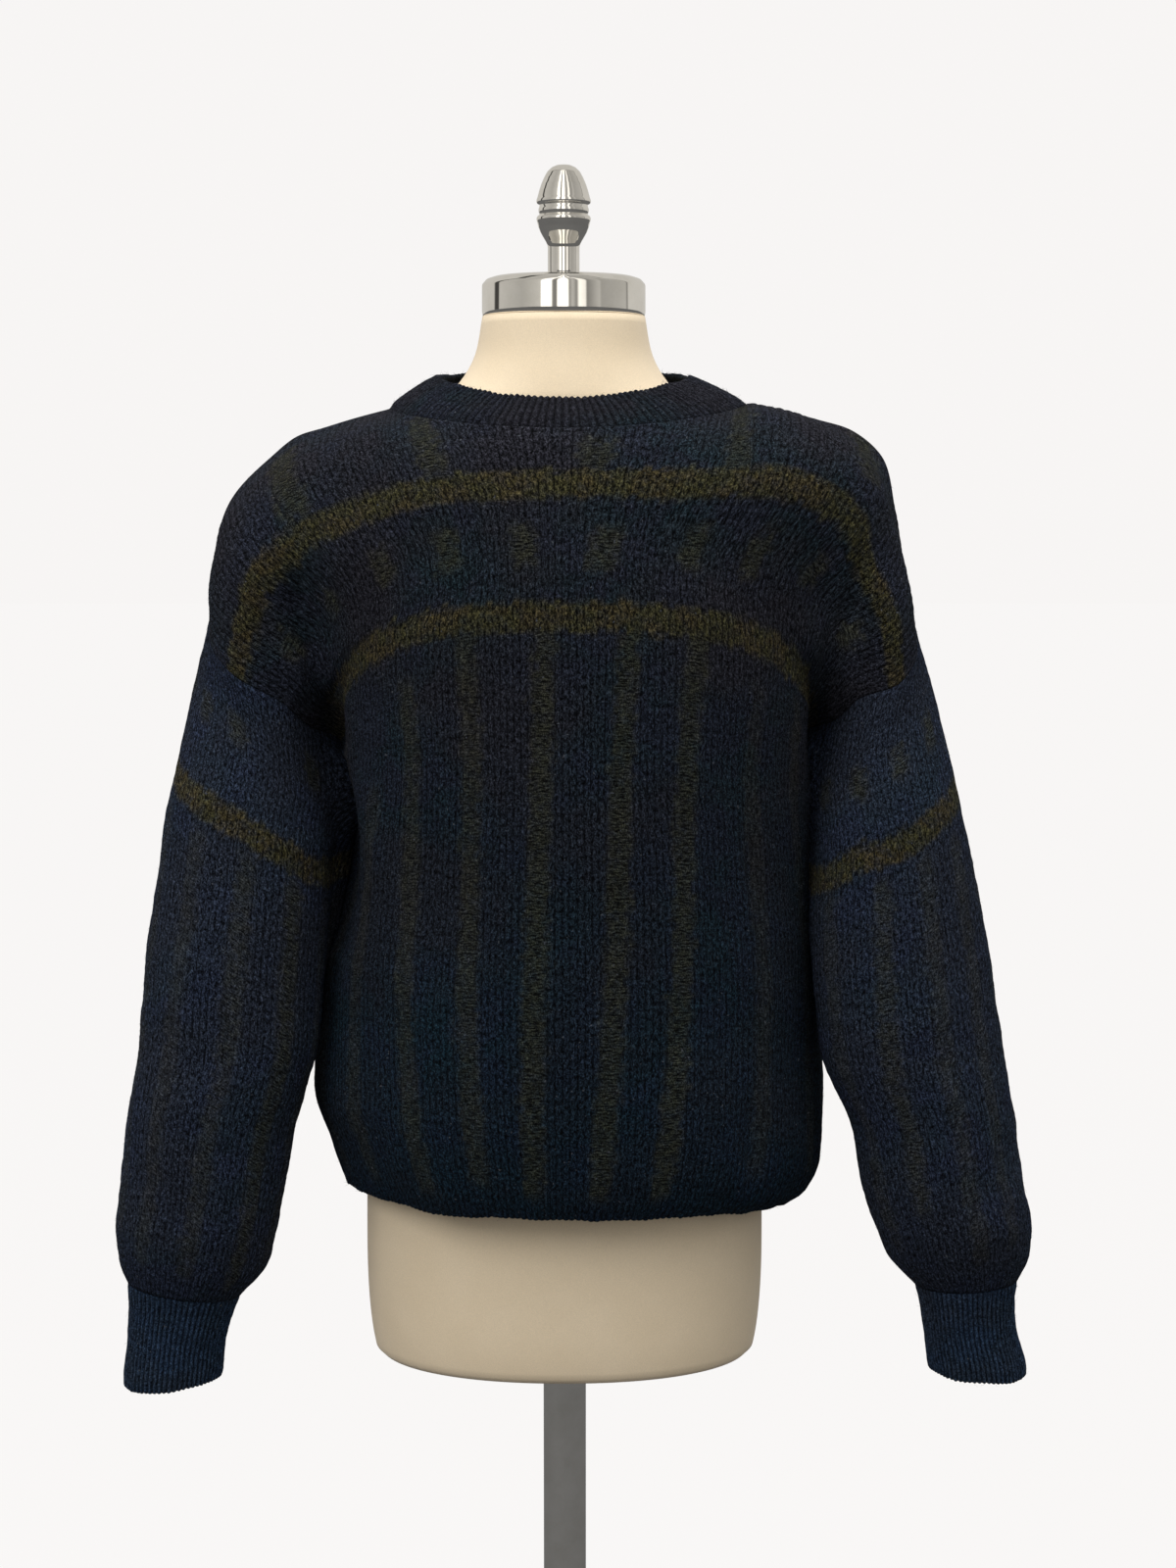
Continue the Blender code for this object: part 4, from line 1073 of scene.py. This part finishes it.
# each hair is a bent three-sided spike: two rings of three points and a tip
def napPiece(piece, count):
    root, normal = rootsOf(piece, count)
    length = rand.uniform(*nap["length"], (count, 1)) * rand.uniform(0.5, 1.0, (count, 1))
    lean = unit(np.cross(normal, rand.standard_normal((count, 3))))
    curl = unit(np.cross(normal, lean) + 0.4 * rand.standard_normal((count, 3)))
    lift = nap["lift"] * rand.random((count, 1)) ** 2
    middle = root + length * (0.5 * lean + 0.5 * lift * normal)
    tip = root + length * (0.9 * lean + lift * normal + 0.25 * curl)
    beside = unit(np.cross(lean, normal))
    points = []
    plan = [(4, 2, 0)]
    for k in range(3):
        turn = 2 * math.pi * k / 3
        ring = (math.cos(turn) * beside + math.sin(turn) * normal) * nap["radius"]
        points += [root + ring, middle + ring * 0.8]
        here, beyond = 2 * k, 2 * ((k + 1) % 3)
        plan += [(here, beyond, beyond + 1), (here, beyond + 1, here + 1),
                 (here + 1, beyond + 1, 6)]
    points = np.stack(points + [tip], axis=1).reshape(-1, 3)
    faces = (np.arange(count)[:, None, None] * 7 + np.array(plan)[None]).reshape(-1, 3)
    made = newMesh(piece.name + "Nap", points, faces.tolist(), napWool)
    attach(made, "root")


napWool = napMaterial()
for key, count in nap["hairs"].items():
    napPiece(garment[key], count)
print("nap made")

# the form under it

formRows = (
    (0.7000, 0.1380, 0.095, 0.102), (0.7040, 0.1420, 0.099, 0.106), (0.7800, 0.1480, 0.106, 0.116),
    (0.8600, 0.1470, 0.108, 0.114), (0.9400, 0.1400, 0.104, 0.100), (1.0200, 0.1390, 0.104, 0.094),
    (1.1100, 0.1440, 0.112, 0.098), (1.2000, 0.1480, 0.118, 0.104), (1.2700, 0.1620, 0.114, 0.104),
    (1.3300, 0.1820, 0.098, 0.094), (1.3580, 0.1860, 0.083, 0.081), (1.3752, 0.1750, 0.074, 0.070),
    (1.3823, 0.1600, 0.072, 0.067), (1.3894, 0.1400, 0.070, 0.066), (1.3980, 0.1100, 0.069, 0.067),
    (1.4050, 0.0920, 0.069, 0.070), (1.4200, 0.0745, 0.066, 0.067),
    (1.4410, 0.0635, 0.0615, 0.0625), (1.4655, 0.0590, 0.0590, 0.0590),
)
formShape = {"roundness": 2.15, "around": 128, "up": 150}


# a closed solid from rings of points, bottom or top first, with single points at its ends
def stacked(name, rings, material, topFirst=False):
    around = len(rings[1])
    index, size = [], 0
    for ring in rings:
        index.append((size + np.arange(around) % len(ring)).tolist())
        size += len(ring)
    faces = []
    for below, above in zip(index[:-1], index[1:]):
        for i in range(around):
            k = (i + 1) % around
            corners = [below[i], below[k], above[k], above[i]]
            corners = [c for n, c in enumerate(corners) if c not in corners[:n]]
            if len(corners) > 2:
                faces.append(corners[::-1] if topFirst else corners)
    return newMesh(name, np.concatenate(rings), faces, material)


def lathed(name, profile, radius, around=96):
    turns = np.arange(around) * 2 * math.pi / around
    circle = np.stack([np.cos(turns), np.sin(turns), 0 * turns], axis=1)
    rings = [circle * out + (0, 0, z) if out > 1e-9 else np.array([(0, 0, z)])
             for out, z in rounded(profile, radius)]
    return stacked(name, rings, chrome, topFirst=True)


# a profile with each of its corners rounded
def rounded(profile, radius, steps=4):
    profile = np.asarray(profile, float)
    found = [profile[0]]
    for before, here, after in zip(profile[:-2], profile[1:-1], profile[2:]):
        a, b = before - here, after - here
        la, lb = np.linalg.norm(a), np.linalg.norm(b)
        reach = min(radius, la * 0.45, lb * 0.45)
        start, end = here + a / la * reach, here + b / lb * reach
        for t in np.linspace(0, 1, steps + 1):
            found.append((1 - t) ** 2 * start + 2 * t * (1 - t) * here + t ** 2 * end)
    found.append(profile[-1])
    return np.asarray(found)


def formBody():
    rows = np.asarray(formRows)
    knots = np.r_[0, np.cumsum(np.linalg.norm(np.diff(rows[:, :2], axis=0), axis=1))]
    fine = smoothLine(knots, rows, np.linspace(0, knots[-1], formShape["up"]), True)
    turns = np.arange(formShape["around"]) * 2 * math.pi / formShape["around"]
    power = 2 / formShape["roundness"]
    across = np.sign(np.sin(turns)) * np.abs(np.sin(turns)) ** power
    ahead = np.sign(np.cos(turns)) * np.abs(np.cos(turns)) ** power
    rings = [np.array([(0, 0, rows[0, 0])])]
    for z, half, front, back in fine:
        depth = np.where(ahead > 0, front, back)
        rings.append(np.stack([half * across, -depth * ahead, z + 0 * across], axis=1))
    rings.append(np.array([(0, 0, rows[-1, 0])]))
    return stacked("formTorso", rings, creamLinen)


# outlines from the top down, as (radius, height)
capProfile = ((0.0, 1.4945), (0.050, 1.4941), (0.0560, 1.4922), (0.0592, 1.4885),
              (0.0593, 1.4690), (0.0588, 1.4658), (0.0, 1.4658))
finialProfile = ((0.0, 1.5740), (0.0050, 1.5736), (0.0086, 1.5720), (0.0118, 1.5690),
                 (0.0140, 1.5650), (0.0160, 1.5605), (0.0175, 1.5560), (0.0190, 1.5505),
                 (0.0196, 1.5490),
                 (0.0197, 1.5473), (0.0190, 1.5462), (0.0174, 1.5456), (0.0176, 1.5440),
                 (0.0182, 1.5425), (0.0182, 1.5405), (0.0176, 1.5390), (0.0175, 1.5384),
                 (0.0190, 1.5373), (0.0196, 1.5362), (0.0196, 1.5345), (0.0191, 1.5330),
                 (0.0182, 1.5295), (0.0168, 1.5260), (0.0150, 1.5228), (0.0130, 1.5195),
                 (0.0118, 1.5170), (0.0115, 1.5150), (0.0115, 1.4948), (0.0, 1.4948))
poleProfile = ((0.0, 0.6997), (0.016, 0.6997), (0.016, 0.0243), (0.0, 0.0243))
baseProfile = ((0.0, 0.0240), (0.045, 0.0240), (0.060, 0.0190), (0.150, 0.0120), (0.165, 0.0090),
               (0.170, 0.0040), (0.168, 0.0), (0.0, 0.0))

finish(formBody(), "form_torso")
for name, profile, radius, cadNode in (("formCap", capProfile, 0.0012, "form_cap"),
                                       ("formFinial", finialProfile, 0.0008, "form_finial"),
                                       ("formPole", poleProfile, 0.001, "form_pole"),
                                       ("formBase", baseProfile, 0.003, "form_base")):
    finish(lathed(name, profile, radius), cadNode)
print("form made")

# floor, light and camera

studio = {
    "backdrop": (0.931, 0.914, 0.905),      # seen by the camera, on the wall and the floor
    "overhead": 1.25,                       # soft light from above, from level and from below
    "level": 0.38,
    "below": 0.06,
    "floor": 0.06,                          # colour of the floor where light falls on it
    "floorGlow": (0.08, 0.938),             # its own light, for the part and for the camera
    "roomTint": (1.0, 0.965, 0.90),
    # what polished metal reflects: turn from straight ahead of it in degrees, brightness
    "room": ((-180, 0.60), (-115, 0.60), (-112, 0.06), (-104, 0.06), (-102, 0.55), (-60, 0.45),
             (-36, 0.60), (-32, 0.65), (-31, 1.60), (-17, 1.60), (-15, 0.26), (-9, 0.22),
             (-8, 1.70), (6, 1.70), (8, 0.30), (13, 0.55), (19, 0.25), (22, 1.30), (31, 1.10),
             (33, 0.25), (52, 0.52), (55, 0.38), (98, 0.48), (101, 0.22), (104, 0.60),
             (180, 0.60)),
    # soft lamps: place, what each points at, size, power
    "lamps": {"keySoftbox": ((-2.0, -2.2, 2.8), (0, 0, 1.2), (1.6, 1.6), 37),
              "fillSoftbox": ((1.9, -2.4, 2.2), (0, 0, 1.2), (1.4, 1.6), 6),
              "topSoftbox": ((0.3, -0.6, 3.2), (0, 0, 1.35), (1.6, 1.2), 20)},
}


def floor():
    points = [(-30, -30, 0), (30, -30, 0), (30, 30, 0), (-30, 30, 0)]
    paint, tree, surface = newMaterial("paleFloor", 0.9, 0.0)
    surface.inputs["Base Color"].default_value = (*[studio["floor"]] * 3, 1.0)
    surface.inputs["Emission Color"].default_value = (*studio["backdrop"], 1.0)
    seen = node(tree, "LightPath").outputs["Is Camera Ray"]
    glow = ranged(tree, seen, 0.0, 1.0, *studio["floorGlow"])
    tree.links.new(glow, surface.inputs["Emission Strength"])
    piece = newMesh("studioFloor", points, [(0, 1, 2, 3)], paint)
    piece.location.z = -0.0005


def softLight(name, place, target, size, power):
    lamp = bpy.data.lights.new(name, "AREA")
    lamp.shape = "RECTANGLE"
    lamp.size, lamp.size_y = size
    lamp.energy = power
    made = bpy.data.objects.new(name, lamp)
    bpy.context.scene.collection.objects.link(made)
    made.location = place
    made.rotation_euler = (Vector(target) - Vector(place)).to_track_quat("-Z", "Y").to_euler()
    made.visible_glossy = False


floor()
for name, lamp in studio["lamps"].items():
    softLight(name, *lamp)


# the backdrop as the camera sees it, soft light that falls mostly from above, and a room
# with windows for the metal to reflect
def studioWorld():
    world = bpy.context.scene.world or bpy.data.worlds.new("studio")
    bpy.context.scene.world = world
    world.use_nodes = True
    tree = world.node_tree
    sky = tree.nodes["Background"]
    way = node(tree, "SeparateXYZ")
    tree.links.new(node(tree, "TexCoord").outputs["Generated"], way.inputs[0])
    turn = maths(tree, "ARCTAN2", way.outputs[0], maths(tree, "MULTIPLY", way.outputs[1], -1.0))
    room = node(tree, "ValToRGB")
    stops = room.color_ramp.elements
    for k, (angle, light) in enumerate(studio["room"]):
        last = k == len(studio["room"]) - 1
        stop = stops[0] if k == 0 else stops[-1] if last else stops.new((angle + 180) / 360)
        stop.color = (*[light * share for share in studio["roomTint"]], 1.0)
    tree.links.new(ranged(tree, turn, -math.pi, math.pi), room.inputs[0])
    upper = ranged(tree, way.outputs[2], 0.0, 0.8, studio["level"], studio["overhead"])
    lower = ranged(tree, way.outputs[2], -0.5, 0.0, studio["below"] - studio["level"], 0.0)
    soft = node(tree, "CombineColor")
    for socket in soft.inputs:
        tree.links.new(maths(tree, "ADD", upper, lower), socket)
    path = node(tree, "LightPath")
    colour = mixed(tree, path.outputs["Is Glossy Ray"], soft.outputs[0], room.outputs[0])
    colour = mixed(tree, path.outputs["Is Camera Ray"], colour, studio["backdrop"])
    tree.links.new(colour, sky.inputs["Color"])


studioWorld()
bpy.context.scene.view_settings.view_transform = "Standard"

view = {"place": (0.0176, -2.0, 1.342), "pitch": 6.2, "lens": 62.505, "sensor": 36}
camera = bpy.data.objects.new("photoCamera", bpy.data.cameras.new("photoCamera"))
bpy.context.scene.collection.objects.link(camera)
camera.location = view["place"]
camera.rotation_euler = (math.radians(90 - view["pitch"]), 0, 0)
camera.data.lens = view["lens"]
camera.data.sensor_width = view["sensor"]
bpy.context.scene.camera = camera
